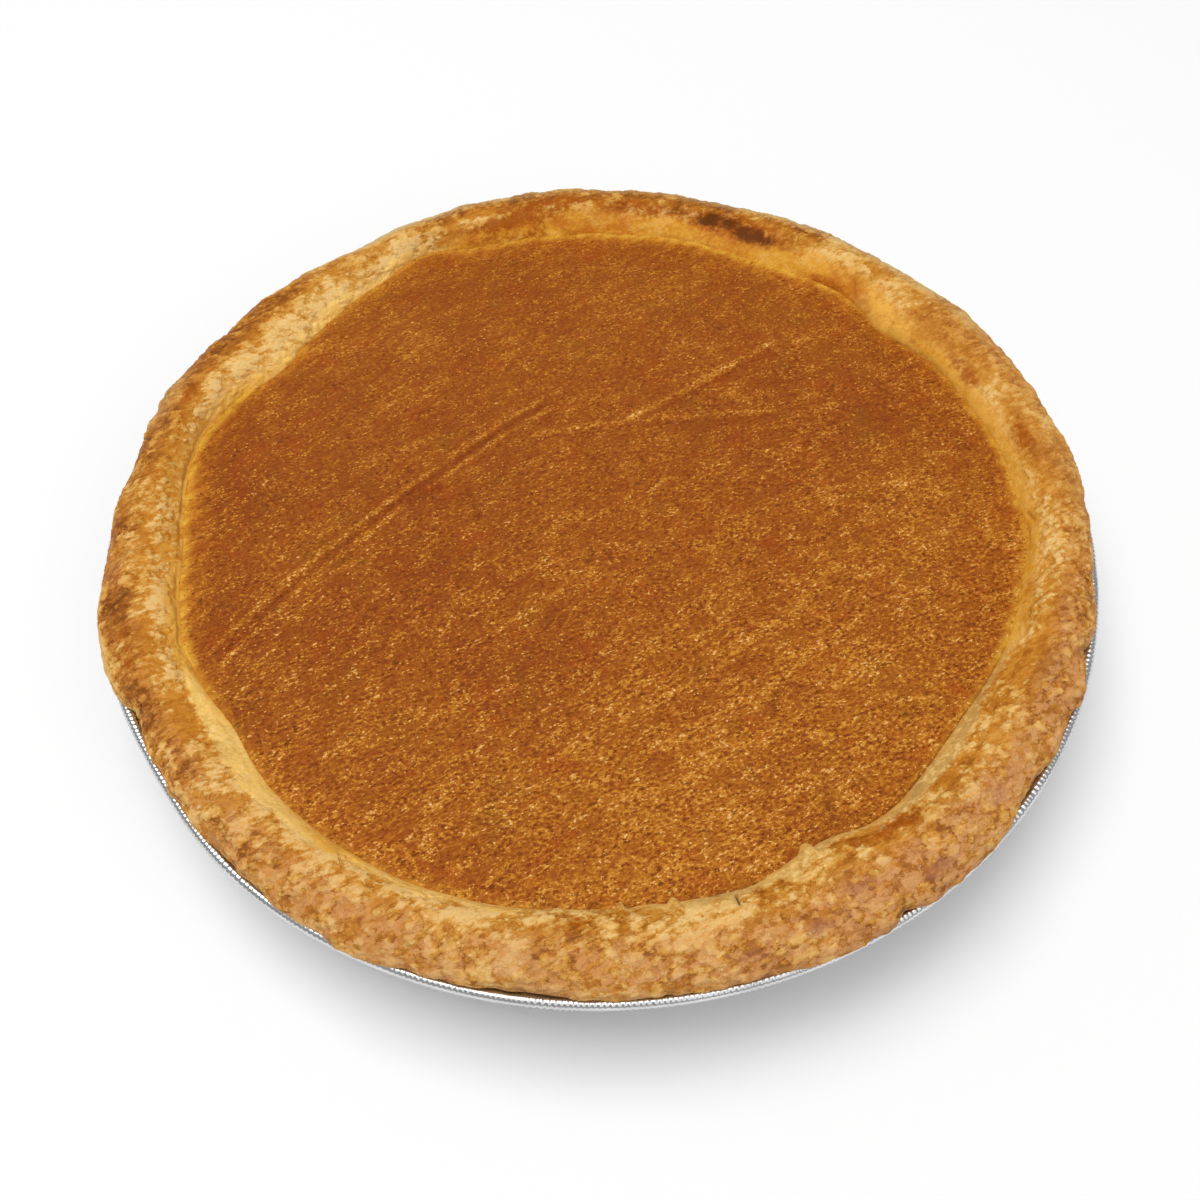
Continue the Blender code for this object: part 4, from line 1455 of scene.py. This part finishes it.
@dataclass(frozen=True)
class CustardFinish:
    """Baked spiced pumpkin custard: a mottled, finely grained and faintly glossy skin, with painted glints
    and painted shade in its grain and at its seam.
    """

    tones: tuple = (
        (0.0, shade(112, 49, 9)), (0.28, shade(136, 63, 14)), (0.44, shade(150, 75, 18)),
        (0.56, shade(161, 86, 21)), (0.70, shade(180, 107, 28)), (0.86, shade(210, 142, 50)),
    )
    # Painted highlights: golden and pale glints and bright beads stand for the light caught by the grain.
    highlight_gold: tuple = shade(208, 137, 40)
    highlight_pale: tuple = shade(240, 190, 124)
    spot: tuple = shade(238, 184, 76)
    # Painted shade colour for the seam against the crust and for the pits of the grain.
    painted_shade: tuple = shade(106, 52, 14)
    olive: tuple = shade(142, 84, 18)
    rust: tuple = shade(164, 72, 14)
    rim: tuple = shade(208, 138, 40)
    warm: tuple = shade(206, 130, 36)
    yolk: tuple = shade(230, 178, 62)
    grain_turn: float = -0.36
    grain_stretch: float = 0.64
    cloud_scale: float = 60.0
    tinge_scale: float = 110.0
    clump_scale: float = 250.0
    sweep_scale: float = 330.0
    bead_scale: float = 1100.0
    grit_scale: float = 1400.0
    spark_scale: float = 1750.0
    grit_height: float = 0.00075
    spark_height: float = 0.00025
    rim_band: tuple[float, float] = (0.0002, 0.0032)
    seam_band: tuple[float, float] = (0.0002, 0.0014)

    def build(self) -> bpy.types.Material:
        """Make the material.

        Returns:
            The material.
        """
        tree = MaterialTree("pumpkin_custard", 0.42, 0.09)
        streak = tree.triple("streak")
        # Painted light and shade kept on the mesh: the shadow field, the ridges' highlight and groove shade,
        # and the glints' weight towards the lower right.
        shaded, ridge_shading, glint_weight = tree.split(tree.triple("tones"))
        margin, gilded, rim_shadow_share = tree.split(tree.triple("brim"))
        place = tree.place()
        cloud = tree.noise(place, self.cloud_scale, 5.0, 0.65, 0.3)
        sweep = tree.noise(tree.vector("MULTIPLY", streak, (2.2, 1.0, 1.0)), self.sweep_scale, 3.0, 0.6, 0.4)
        inputs = {"Vector": place, "Angle": self.grain_turn}
        turned = tree.add("ShaderNodeVectorRotate", inputs, rotation_type="Z_AXIS")
        short = tree.vector("MULTIPLY", turned.outputs[0], (self.grain_stretch, 1.0, 1.0))
        grit = tree.noise(short, self.grit_scale, 2.0, 0.6, 0.2)
        spark = tree.noise(tree.vector("ADD", short, (0.31, 0.17, 0.0)), self.spark_scale, 2.0, 0.6)
        clump = tree.noise(tree.vector("MULTIPLY", streak, (1.5, 1.0, 1.0)), self.clump_scale, 3.0, 0.6, 0.3)
        rough = tree.mapped(clump, 0.34, 0.66, 0.70, 1.30)
        curd = tree.math("MULTIPLY", tree.total(grit, -0.5), rough)
        # The grain, with its painted pit shade, grows stronger towards the lower right by the glint weight.
        curd = tree.math("MULTIPLY", curd, tree.total((glint_weight, 0.45), 0.90))
        # Painted shade and painted light from the shadows field darken or lighten the skin.
        mix = tree.total((cloud, 0.42), (sweep, 0.36), curd, (shaded, -0.16))
        # Painted highlight along the ridges and painted shade in the grooves.
        mix = tree.total(mix, (ridge_shading, 0.16), 0.112)
        skin = tree.steps(mix, self.tones)
        tinge = tree.noise(tree.vector("ADD", place, (0.5, 0.2, 0.0)), self.tinge_scale, 4.0, 0.65, 0.4)
        skin = tree.blend(tree.mapped(tinge, 0.52, 0.70, 0.0, 0.40), skin, self.olive)
        skin = tree.blend(tree.mapped(tinge, 0.32, 0.46, 0.35, 0.0), skin, self.rust)
        uneven = tree.mapped(tree.total(sweep, grit, -0.5), 0.30, 0.70, 0.35, 1.35)
        skin = tree.blend(tree.math("MULTIPLY", tree.number("warmth"), uneven), skin, self.warm)
        edge = tree.math("MULTIPLY", tree.mapped(margin, *self.rim_band, 1.0, 0.0), gilded)
        skin = tree.blend(edge, skin, tree.blend(tree.mapped(sweep, 0.4, 0.6), self.rim, self.yolk))
        # Painted shadow: a dark line along the seam where the filling meets the crust.
        seam = tree.math("MULTIPLY", tree.mapped(margin, *self.seam_band, 1.0, 0.0), rim_shadow_share)
        skin = tree.blend(seam, skin, self.painted_shade)
        # Painted highlights: sparse bright beads of colour, gold to bright yellow.
        near, number = tree.cells(tree.vector("ADD", short, (0.13, 0.41, 0.0)), self.bead_scale)
        chosen = tree.total((number, 0.30), (sweep, 0.5), (clump, 1.5), (ridge_shading, 0.12), (grit, 0.5))
        size = tree.mapped(tree.total(near, (number, 0.12)), 0.20, 0.32, 1.0, 0.0)
        bead = tree.math("MULTIPLY", size, tree.mapped(chosen, 1.43, 1.51))
        # Painted highlights: golden glints, then paler ones, where the sparks, ridges and sweeps rise.
        highlight_field = tree.total(spark, (ridge_shading, 0.10), (sweep, 0.44), (cloud, 0.22), -0.370, (glint_weight, 0.05))
        skin = tree.blend(tree.mapped(highlight_field, 0.595, 0.640, 0.0, 0.90), skin, self.highlight_gold)
        pale_highlight_field = tree.total(highlight_field, (glint_weight, 0.04), -0.05)
        skin = tree.blend(tree.mapped(pale_highlight_field, 0.665, 0.70, 0.0, 0.95), skin, self.highlight_pale)
        skin = tree.blend(tree.math("MULTIPLY", bead, 0.9), skin, tree.blend(number, self.highlight_gold, self.spot))
        # Painted shade in the low pits of the grain.
        skin = tree.blend(tree.mapped(tree.total(curd, 0.5), 0.26, 0.38, 0.6, 0.0), skin, self.painted_shade)
        tree.feed(tree.shader.inputs["Base Color"], skin)
        tree.feed(tree.shader.inputs["Roughness"], tree.mapped(spark, 0.4, 0.65, 0.50, 0.30))
        coarse = tree.bump(grit, self.grit_height, 0.95)
        tree.feed(tree.shader.inputs["Normal"], tree.bump(spark, self.spark_height, 0.7, coarse))
        return tree.material


@dataclass
class Filling:
    """The set custard: its low dome, the rim where it meets the crust, its ridges and its streaks.

    The four tables of the rim hold (angle, value).  Rows of shadows hold (x, y, reach, amount) of painted
    shade; an amount above 0 darkens the skin and one below 0 lightens it as painted light.
    """

    shape: PieShape
    cells: int = 290
    overlap: float = 0.0006
    streak_stretch: float = 0.28
    streak_slope: float = 0.57
    streak_bend: float = 2.0
    break_size: float = 0.006
    edge_width: float = 0.0022
    ripple_sizes: tuple[float, float] = (0.0042, 0.012)
    ripple_height: float = 0.00030
    full_ridge: float = 0.0004
    warm_reach: tuple[float, float] = (-0.0085, 0.0005)
    speck_margin: float = 0.002
    finish: CustardFinish = field(default_factory=CustardFinish)
    edge_rise: tuple = (
        (0.0, 0.0002), (28.0, 0.0), (34.0, -0.0006), (43.0, -0.0006), (47.0, 0.0002), (60.0, 0.0004),
        (110.0, 0.0004), (125.0, 0.0002), (163.0, 0.0003), (204.0, 0.0003), (212.0, 0.0), (262.0, -0.0002),
        (270.0, -0.0006), (290.0, -0.0007), (310.0, -0.0006), (332.0, -0.0003), (345.0, 0.0),
    )
    warm_rim: tuple = (
        (0.0, 0.20), (20.0, 0.10), (44.0, 0.40), (56.0, 0.80), (76.0, 0.65), (112.0, 0.60), (136.0, 0.45),
        (143.0, 0.2), (145.5, 0.9), (154.0, 0.8), (158.0, 0.3), (170.0, 0.5), (176.0, 0.85), (190.0, 0.7),
        (196.0, 0.6), (206.0, 0.3), (215.0, 0.0), (340.0, 0.0),
    )
    golden_rim: tuple = (
        (0.0, 0.85), (15.0, 0.85), (25.0, 0.4), (33.0, 0.3), (44.0, 0.6), (50.0, 0.9), (60.0, 1.0),
        (76.0, 0.9), (90.0, 0.8), (105.0, 0.7), (114.0, 0.35), (143.0, 0.30), (145.5, 1.0), (160.0, 1.0),
        (176.0, 1.0), (206.0, 1.0), (212.0, 0.3), (225.0, 0.2), (243.0, 0.4), (262.0, 0.25), (275.0, 0.15),
        (300.0, 0.1), (325.0, 0.4), (335.0, 0.9), (345.0, 0.7), (354.0, 0.9),
    )
    shadow_rim: tuple = (
        (0.0, 0.0), (28.0, 0.0), (33.0, 0.7), (44.0, 0.7), (47.0, 0.0), (255.0, 0.0), (270.0, 0.5),
        (282.0, 0.8), (300.0, 0.8), (325.0, 0.8), (340.0, 0.1),
    )
    ridges: tuple = (
        Ridge(((-0.0905, -0.0400), (-0.0735, -0.0190), (-0.0515, 0.0050), (-0.0262, 0.0280),
               (-0.0150, 0.0360)), 0.00080, 0.00035),
        Ridge(((-0.0868, -0.0435), (-0.0705, -0.0215), (-0.0485, 0.0024), (-0.0235, 0.0255),
               (-0.0120, 0.0335)), 0.00075, 0.00030),
        Ridge(((-0.0885, -0.0415), (-0.0720, -0.0200), (-0.0500, 0.0040), (-0.0250, 0.0270),
               (-0.0140, 0.0350)), 0.00080, -0.00040),
        Ridge(((0.0085, 0.0300), (0.0200, 0.0370), (0.0350, 0.0470), (0.0490, 0.0560)), 0.00110, 0.00040),
        Ridge(((0.0120, 0.0295), (0.0300, 0.0410), (0.0480, 0.0530)), 0.00090, -0.00024),
        Ridge(((-0.0160, 0.0250), (-0.0020, 0.0280), (0.0110, 0.0292), (0.0300, 0.0310),
               (0.0480, 0.0312)), 0.00070, 0.00034),
        Ridge(((-0.0160, 0.0232), (0.0110, 0.0276), (0.0480, 0.0296)), 0.00070, -0.00018),
        Ridge(((-0.0480, 0.0032), (-0.0400, 0.0085)), 0.00110, -0.00060),
        Ridge(((-0.0350, 0.0160), (-0.0330, 0.0080), (-0.0300, -0.0010)), 0.00080, -0.00026),
        Ridge(((-0.0600, 0.0310), (-0.0480, 0.0410), (-0.0400, 0.0440)), 0.00110, 0.00020),
        Ridge(((-0.0200, -0.0330), (-0.0080, -0.0230)), 0.00110, 0.00030),
        Ridge(((0.0050, -0.0700), (0.0350, -0.0540), (0.0620, -0.0330)), 0.00100, 0.00022),
        Ridge(((-0.0040, -0.0640), (0.0250, -0.0480), (0.0520, -0.0270)), 0.00100, 0.00018),
        Ridge(((0.0100, -0.0780), (0.0380, -0.0640), (0.0640, -0.0440)), 0.00100, 0.00018),
        Ridge(((0.0060, -0.0560), (0.0380, -0.0370), (0.0580, -0.0180)), 0.00100, 0.00016),
        Ridge(((0.0600, 0.0050), (0.0760, 0.0060), (0.0880, 0.0010)), 0.00080, 0.00016),
    )
    shadows: tuple = (
        (-0.090, 0.006, 0.010, 0.9), (-0.082, -0.031, 0.010, 0.5), (-0.018, -0.046, 0.012, 0.6),
        (-0.020, 0.080, 0.018, 0.3), (0.030, 0.060, 0.022, 0.2), (0.052, 0.044, 0.006, 0.7),
        (-0.040, -0.010, 0.016, 0.35), (0.072, 0.030, 0.016, 0.25), (-0.062, -0.040, 0.014, 0.4),
        (0.060, -0.060, 0.020, -0.4), (0.000, -0.085, 0.030, -0.5), (-0.060, -0.070, 0.020, -0.4),
        (0.085, -0.010, 0.020, -0.3), (0.020, -0.010, 0.025, -0.2),
    )

    def edge(self, angles: np.ndarray) -> np.ndarray:
        """Radius of the filling's edge, a little inside the crust."""
        return self.shape.inner(angles) + self.overlap

    def disc(self) -> tuple[np.ndarray, np.ndarray, np.ndarray]:
        """Spread a square grid evenly over the filling.

        Returns:
            Arrays (points, points) of x, y and the share of the way to the edge.
        """
        line = np.linspace(-1.0, 1.0, self.cells + 1)
        a, b = np.meshgrid(line, line, indexing="ij")
        wide = np.abs(a) > np.abs(b)
        safe_a, safe_b = np.where(a == 0.0, 1.0, a), np.where(b == 0.0, 1.0, b)
        reach = np.where(wide, a, b)
        turn = np.where(wide, math.pi / 4.0 * (b / safe_a), math.pi / 2.0 - math.pi / 4.0 * (a / safe_b))
        turn = np.where(reach < 0.0, turn + math.pi, turn)
        share = np.abs(reach)
        radius = share * self.edge(np.degrees(turn) % 360.0)
        return radius * np.cos(turn), radius * np.sin(turn), share

    def line_height(self, ridge: Ridge, x: np.ndarray, y: np.ndarray) -> np.ndarray:
        """Work out the height that one ridge adds.

        Args:
            ridge: The ridge.
            x: Array of the places' x.
            y: Array of the places' y.

        Returns:
            Array of heights.
        """
        nearest = np.full(x.shape, 1.0)
        for (x0, y0), (x1, y1) in zip(ridge.path, ridge.path[1:]):
            run_x, run_y = x1 - x0, y1 - y0
            share = np.clip(((x - x0) * run_x + (y - y0) * run_y) / (run_x ** 2 + run_y ** 2), 0.0, 1.0)
            nearest = np.minimum(nearest, np.hypot(x - x0 - share * run_x, y - y0 - share * run_y))
        return ridge.height * np.exp(-((nearest / ridge.width) ** 2))

    def build_mesh(self) -> bpy.types.Mesh:
        """Make the closed mesh of the filling and keep its patterns as attributes.

        Returns:
            The mesh.
        """
        shape = self.shape
        x, y, share = self.disc()
        turn = np.degrees(np.arctan2(y, x)) % 360.0
        margin = (1.0 - share) * self.edge(turn)
        sideways = y - self.streak_slope * x + self.streak_bend * x * x
        streak = np.stack([x * self.streak_stretch, sideways, np.zeros_like(x)], axis=-1)
        flat = streak.reshape(-1, 3)
        plain = np.stack([x, y, np.zeros_like(x)], axis=-1).reshape(-1, 3)
        noise = SpaceNoise(23)
        breaks = 0.65 + 0.8 * noise.layered(plain, self.break_size, 2).reshape(x.shape)
        lines = sum(self.line_height(ridge, x, y) for ridge in self.ridges)
        height = shape.filling_edge + shape.filling_swell * np.sin(math.pi * share ** 3)
        height = height + around(turn, self.edge_rise) * np.exp(-((margin / self.edge_width) ** 1.5))
        height = height + lines * np.clip(breaks, 0.15, 1.3)
        small, large = self.ripple_sizes
        height = height + noise.layered(flat, small, 3, 0.6).reshape(x.shape) * self.ripple_height
        height = height + noise.layered(plain + 0.2, large, 2).reshape(x.shape) * self.ripple_height
        grid = np.stack([x, y, height], axis=-1)
        size = self.cells + 1
        index = np.arange(size * size).reshape(size, size)
        faces = np.stack([index[:-1, :-1], index[1:, :-1], index[1:, 1:], index[:-1, 1:]], axis=-1)
        border = np.concatenate([index[:-1, 0], index[-1, :-1], index[:0:-1, -1], index[0, :0:-1]])
        points = grid.reshape(-1, 3)
        faces = [tuple(face) for face in faces.reshape(-1, 4)]
        angles = np.arctan2(points[border, 1], points[border, 0])
        depth = shape.shell_gap + shape.shell
        walls = [shape.wall(depth, shape.shell_top), *reversed(shape.corner(depth, 2))]
        last = border
        for radius, level in walls:
            levels = np.full(len(border), level)
            ring = np.column_stack([radius * np.cos(angles), radius * np.sin(angles), levels])
            new = np.arange(len(border)) + len(points)
            points = np.vstack([points, ring])
            faces.extend(zip(last, np.roll(last, -1), np.roll(new, -1), new))
            last = new
        points = np.vstack([points, [(0.0, 0.0, depth)]])
        middle = len(points) - 1
        faces.extend((a, b, middle) for a, b in zip(last, np.roll(last, -1)))
        mesh = mesh_from("filling_mesh", points, faces)
        extra = len(points) - size * size
        # Painted shade and painted light from the shadows table: above 0 darkens, below 0 lightens.
        painted_shade = np.zeros_like(x)
        for place_x, place_y, reach, amount in self.shadows:
            painted_shade += amount * np.exp(-(((x - place_x) ** 2 + (y - place_y) ** 2) / reach ** 2))
        # Painted light: near weights the glints towards the lower right, and the skin is lightened there; it
        # is also lighter towards the far side.
        near = ramp(x * 0.3 - y * 0.9, -0.09, 0.09)
        painted_shade -= 0.45 * ramp(x * 0.55 - y * 0.85, 0.0, 0.09) + 0.25 * ramp(y, 0.02, 0.08)
        tones = np.stack([painted_shade, lines / self.full_ridge, near], axis=-1).reshape(-1, 3)
        brim = np.stack([margin, around(turn, self.golden_rim), around(turn, self.shadow_rim)], axis=-1)
        blank = np.zeros((extra, 3))
        store(mesh, "streak", np.vstack([flat, blank]))
        store(mesh, "tones", np.vstack([tones, blank]))
        store(mesh, "brim", np.vstack([brim.reshape(-1, 3), blank]))
        warmth = around(turn, self.warm_rim) * ramp(-margin, *self.warm_reach)
        store(mesh, "warmth", np.concatenate([warmth.ravel(), np.zeros(extra)]))
        clear = (margin > self.speck_margin).astype(float)
        store(mesh, "top", np.concatenate([clear.ravel(), np.zeros(extra)]))
        return mesh

    def build(self) -> bpy.types.Object:
        """Make the filling.

        Returns:
            The finished filling.
        """
        mesh = self.build_mesh()
        mesh.materials.append(self.finish.build())
        return add_object("filling_custard", mesh)


# ---------------------------------------------------------------------------
# The spice specks scattered over the filling
# ---------------------------------------------------------------------------


@dataclass(frozen=True)
class SpeckFinish:
    """Dark spice, cinnamon and clove."""

    light: tuple = shade(128, 66, 26)
    deep: tuple = shade(78, 38, 18)
    tone_scale: float = 300.0
    grain_scale: float = 3000.0
    grain_height: float = 0.0001

    def build(self) -> bpy.types.Material:
        """Make the material.

        Returns:
            The material.
        """
        tree = MaterialTree("ground_spice", 0.6, 0.3)
        tone = tree.noise(tree.place(), self.tone_scale, 2.0)
        skin = tree.blend(tree.mapped(tone, 0.4, 0.6), self.light, self.deep)
        tree.feed(tree.shader.inputs["Base Color"], skin)
        grain = tree.noise(tree.place(), self.grain_scale)
        tree.feed(tree.shader.inputs["Normal"], tree.bump(grain, self.grain_height, 0.5))
        return tree.material


@dataclass
class Scatter:
    """Small things strewn over a piece's surface by one rule."""

    name: str = "spice_specks"
    number: int = 420
    size: tuple[float, float] = (0.00025, 0.0007)
    proportions: tuple[float, float, float] = (1.0, 0.6, 0.45)
    sink: float = 0.00005
    seed: int = 4
    ceiling: float = 0.0380

    def tree(self, body: bpy.types.Mesh, material: bpy.types.Material, area: float) -> GeometryTree:
        """Lay the tree that strews the things.

        Args:
            body: Mesh of one thing, one unit across.
            material: The things' finish.
            area: Area of the allowed surface.

        Returns:
            The tree, ready to bake.
        """
        tree = GeometryTree(self.name)
        number = tree.size("Number in a square metre", self.number / area)
        small = tree.size("Smallest", self.size[0])
        large = tree.size("Largest", self.size[1])
        sink = tree.size("Sink", self.sink)
        seed = tree.size("Seed", self.seed, "NodeSocketInt")
        density = tree.math("MULTIPLY", number, tree.math("GREATER_THAN", tree.kept("top", "FLOAT"), 0.5))
        inputs = {"Mesh": tree.entry.outputs["Geometry"], "Density": density, "Seed": seed}
        spots = tree.add("GeometryNodeDistributePointsOnFaces", inputs)
        thing = bpy.data.objects.new(self.name + "_one", body)
        bpy.context.scene.collection.objects.link(thing)
        one = tree.add("GeometryNodeObjectInfo", {"Object": thing}).outputs["Geometry"]
        wide = tree.add("FunctionNodeRandomValue", {2: small, 3: large, "Seed": seed}, data_type="FLOAT")
        turn = tree.add("FunctionNodeRandomValue", {2: 0.0, 3: math.tau, "Seed": 7}, data_type="FLOAT")
        spin = tree.add("ShaderNodeCombineXYZ", {2: turn.outputs[1]}).outputs[0]
        spun = tree.add("FunctionNodeRotateRotation", {0: spots.outputs["Rotation"]}, rotation_space="LOCAL")
        tree.feed(spun.inputs[1], spin)
        scale = tree.scaled(self.proportions, wide.outputs[1])
        inputs = {"Points": spots.outputs["Points"], "Instance": one, "Rotation": spun.outputs[0],
                  "Scale": scale}
        placed = tree.add("GeometryNodeInstanceOnPoints", inputs)
        lower = tree.scaled(spots.outputs["Normal"], tree.math("MULTIPLY", sink, -1.0))
        inputs = {"Instances": placed.outputs[0], "Translation": lower}
        moved = tree.add("GeometryNodeTranslateInstances", inputs)
        moved.inputs["Local Space"].default_value = False
        tree.finish(moved.outputs[0], material)
        return tree

    def strew(self, ground: bpy.types.Object, body: bpy.types.Mesh,
              material: bpy.types.Material) -> bpy.types.Object:
        """Strew the things over a piece.

        Args:
            ground: The piece, whose attribute "top" says where the things may lie.
            body: Mesh of one thing.
            material: The things' finish.

        Returns:
            The finished things, joined in one mesh.
        """
        base = ground.data.copy()
        allowed = np.zeros(len(base.vertices), dtype=np.float32)
        base.attributes["top"].data.foreach_get("value", allowed)
        area = sum(face.area for face in base.polygons if allowed[face.vertices[0]] > 0.5)
        item = self.tree(body, material, area).bake(self.name, base)
        bpy.data.objects.remove(bpy.data.objects[self.name + "_one"])
        levels = np.array([tuple(point.co) for point in item.data.vertices])
        levels[:, 2] = np.minimum(levels[:, 2], self.ceiling)
        item.data.vertices.foreach_set("co", levels.astype(np.float32).ravel())
        close_up(item.data)
        return item


def speck_body() -> bpy.types.Mesh:
    """Make a lumpy grain of spice, one unit across.

    Returns:
        The grain's mesh.
    """
    model = bmesh.new()
    bmesh.ops.create_icosphere(model, subdivisions=1, radius=0.5)
    source = np.random.default_rng(3)
    for point in model.verts:
        point.co *= 0.75 + 0.35 * source.random()
    mesh = bpy.data.meshes.new("speck")
    model.to_mesh(mesh)
    model.free()
    return mesh


# ---------------------------------------------------------------------------
# The studio
# ---------------------------------------------------------------------------


@dataclass
class Studio:
    """A pale floor, soft light and the camera."""

    camera_place: tuple[float, float, float] = (0.0, -0.1871, 0.2705)
    aim: tuple[float, float, float] = (-0.00012, -0.02538, 0.0290)
    roll: float = 1.233
    focal_length: float = 36.34
    floor_size: float = 8.0
    floor_drop: float = 0.00005
    floor_colour: tuple[float, float, float, float] = (0.93, 0.93, 0.93, 1.0)
    sky_strength: float = 0.34
    key_place: tuple[float, float, float] = (-0.55, 0.20, 2.60)
    key_size: float = 1.8
    key_power: float = 49.0
    fill_place: tuple[float, float, float] = (1.0, -1.4, 2.2)
    fill_size: float = 2.8
    fill_power: float = 19.0
    lamp_target: tuple[float, float, float] = (0.0, 0.0, 0.02)

    def clear(self) -> None:
        """Empty the scene that the file opened with."""
        for item in list(bpy.data.objects):
            bpy.data.objects.remove(item, do_unlink=True)

    def facing(self, place: Vector, target: Vector, roll: float = 0.0) -> Matrix:
        """Matrix of a lamp or camera at a place that looks at a target.

        Args:
            place: Where it stands.
            target: What it looks at.
            roll: How far it leans round its line of sight, in degrees.

        Returns:
            The world matrix.
        """
        turn = (target - place).to_track_quat("-Z", "Y").to_matrix().to_4x4()
        return Matrix.Translation(place) @ turn @ Matrix.Rotation(math.radians(roll), 4, "Z")

    def add_camera(self) -> None:
        """Set up the camera."""
        camera = bpy.data.cameras.new("camera")
        camera.sensor_width = 36.0
        camera.lens = self.focal_length
        camera.clip_start = 0.01
        item = bpy.data.objects.new("camera", camera)
        bpy.context.scene.collection.objects.link(item)
        item.matrix_world = self.facing(Vector(self.camera_place), Vector(self.aim), -self.roll)
        bpy.context.scene.camera = item

    def add_lamp(self, name: str, place: tuple, size: float, power: float) -> None:
        """Add a square soft light that faces the pie.

        Args:
            name: The lamp's name.
            place: Where it stands.
            size: Length of its sides.
            power: Its power in watts.
        """
        lamp = bpy.data.lights.new(name, "AREA")
        lamp.shape = "SQUARE"
        lamp.size = size
        lamp.energy = power
        item = bpy.data.objects.new(name, lamp)
        bpy.context.scene.collection.objects.link(item)
        item.matrix_world = self.facing(Vector(place), Vector(self.lamp_target))

    def add_floor(self) -> None:
        """Lay the plain pale floor."""
        half = self.floor_size / 2.0
        level = -self.floor_drop
        corners = [(-half, -half, level), (half, -half, level), (half, half, level), (-half, half, level)]
        mesh = bpy.data.meshes.new("floor")
        mesh.from_pydata(corners, [], [(0, 1, 2, 3)])
        paper = MaterialTree("studio_floor", 0.9, 0.1)
        paper.feed(paper.shader.inputs["Base Color"], self.floor_colour)
        mesh.materials.append(paper.material)
        add_object("floor", mesh)

    def build(self) -> None:
        """Set up floor, light, colour view and camera."""
        scene = bpy.context.scene
        scene.view_settings.view_transform = "Standard"
        scene.view_settings.look = "None"
        world = bpy.data.worlds.new("studio")
        world.use_nodes = True
        scene.world = world
        tree = Tree(world.node_tree)
        sky = tree.add("ShaderNodeBackground", {"Color": (1.0, 1.0, 1.0, 1.0), "Strength": self.sky_strength})
        tree.add("ShaderNodeOutputWorld", {"Surface": sky.outputs[0]})
        self.add_lamp("key_light", self.key_place, self.key_size, self.key_power)
        self.add_lamp("fill_light", self.fill_place, self.fill_size, self.fill_power)
        self.add_floor()
        self.add_camera()


def attach(piece: bpy.types.Object, slot: Slot, *nodes: str) -> None:
    """Fix a finished piece to the part and hide the nodes that it stands for.

    Args:
        piece: The piece.
        slot: Its material slot; not used.
        nodes: Nodes of the part that it replaces.
    """
    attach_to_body(piece, BODY)
    if nodes:
        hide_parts(*nodes)
    LOG.info("%s: %d points, %d faces", piece.name, len(piece.data.vertices), len(piece.data.polygons))


def main() -> None:
    """Build the pie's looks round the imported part."""
    logging.basicConfig(level=logging.INFO, format="%(name)s %(message)s")
    studio = Studio()
    studio.clear()
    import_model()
    shape = PieShape()
    tin = FoilTin(shape).build()
    attach(tin, Slot.TIN, "foil_tin")
    crust = Crust(shape).build()
    filling = Filling(shape).build()
    grains = Scatter().strew(filling, speck_body(), SpeckFinish().build())
    attach(crust, Slot.PASTRY, "crust")
    attach(filling, Slot.FILLING, "filling")
    attach(grains, Slot.FILLING)
    studio.build()


if __name__ == "__main__":
    main()
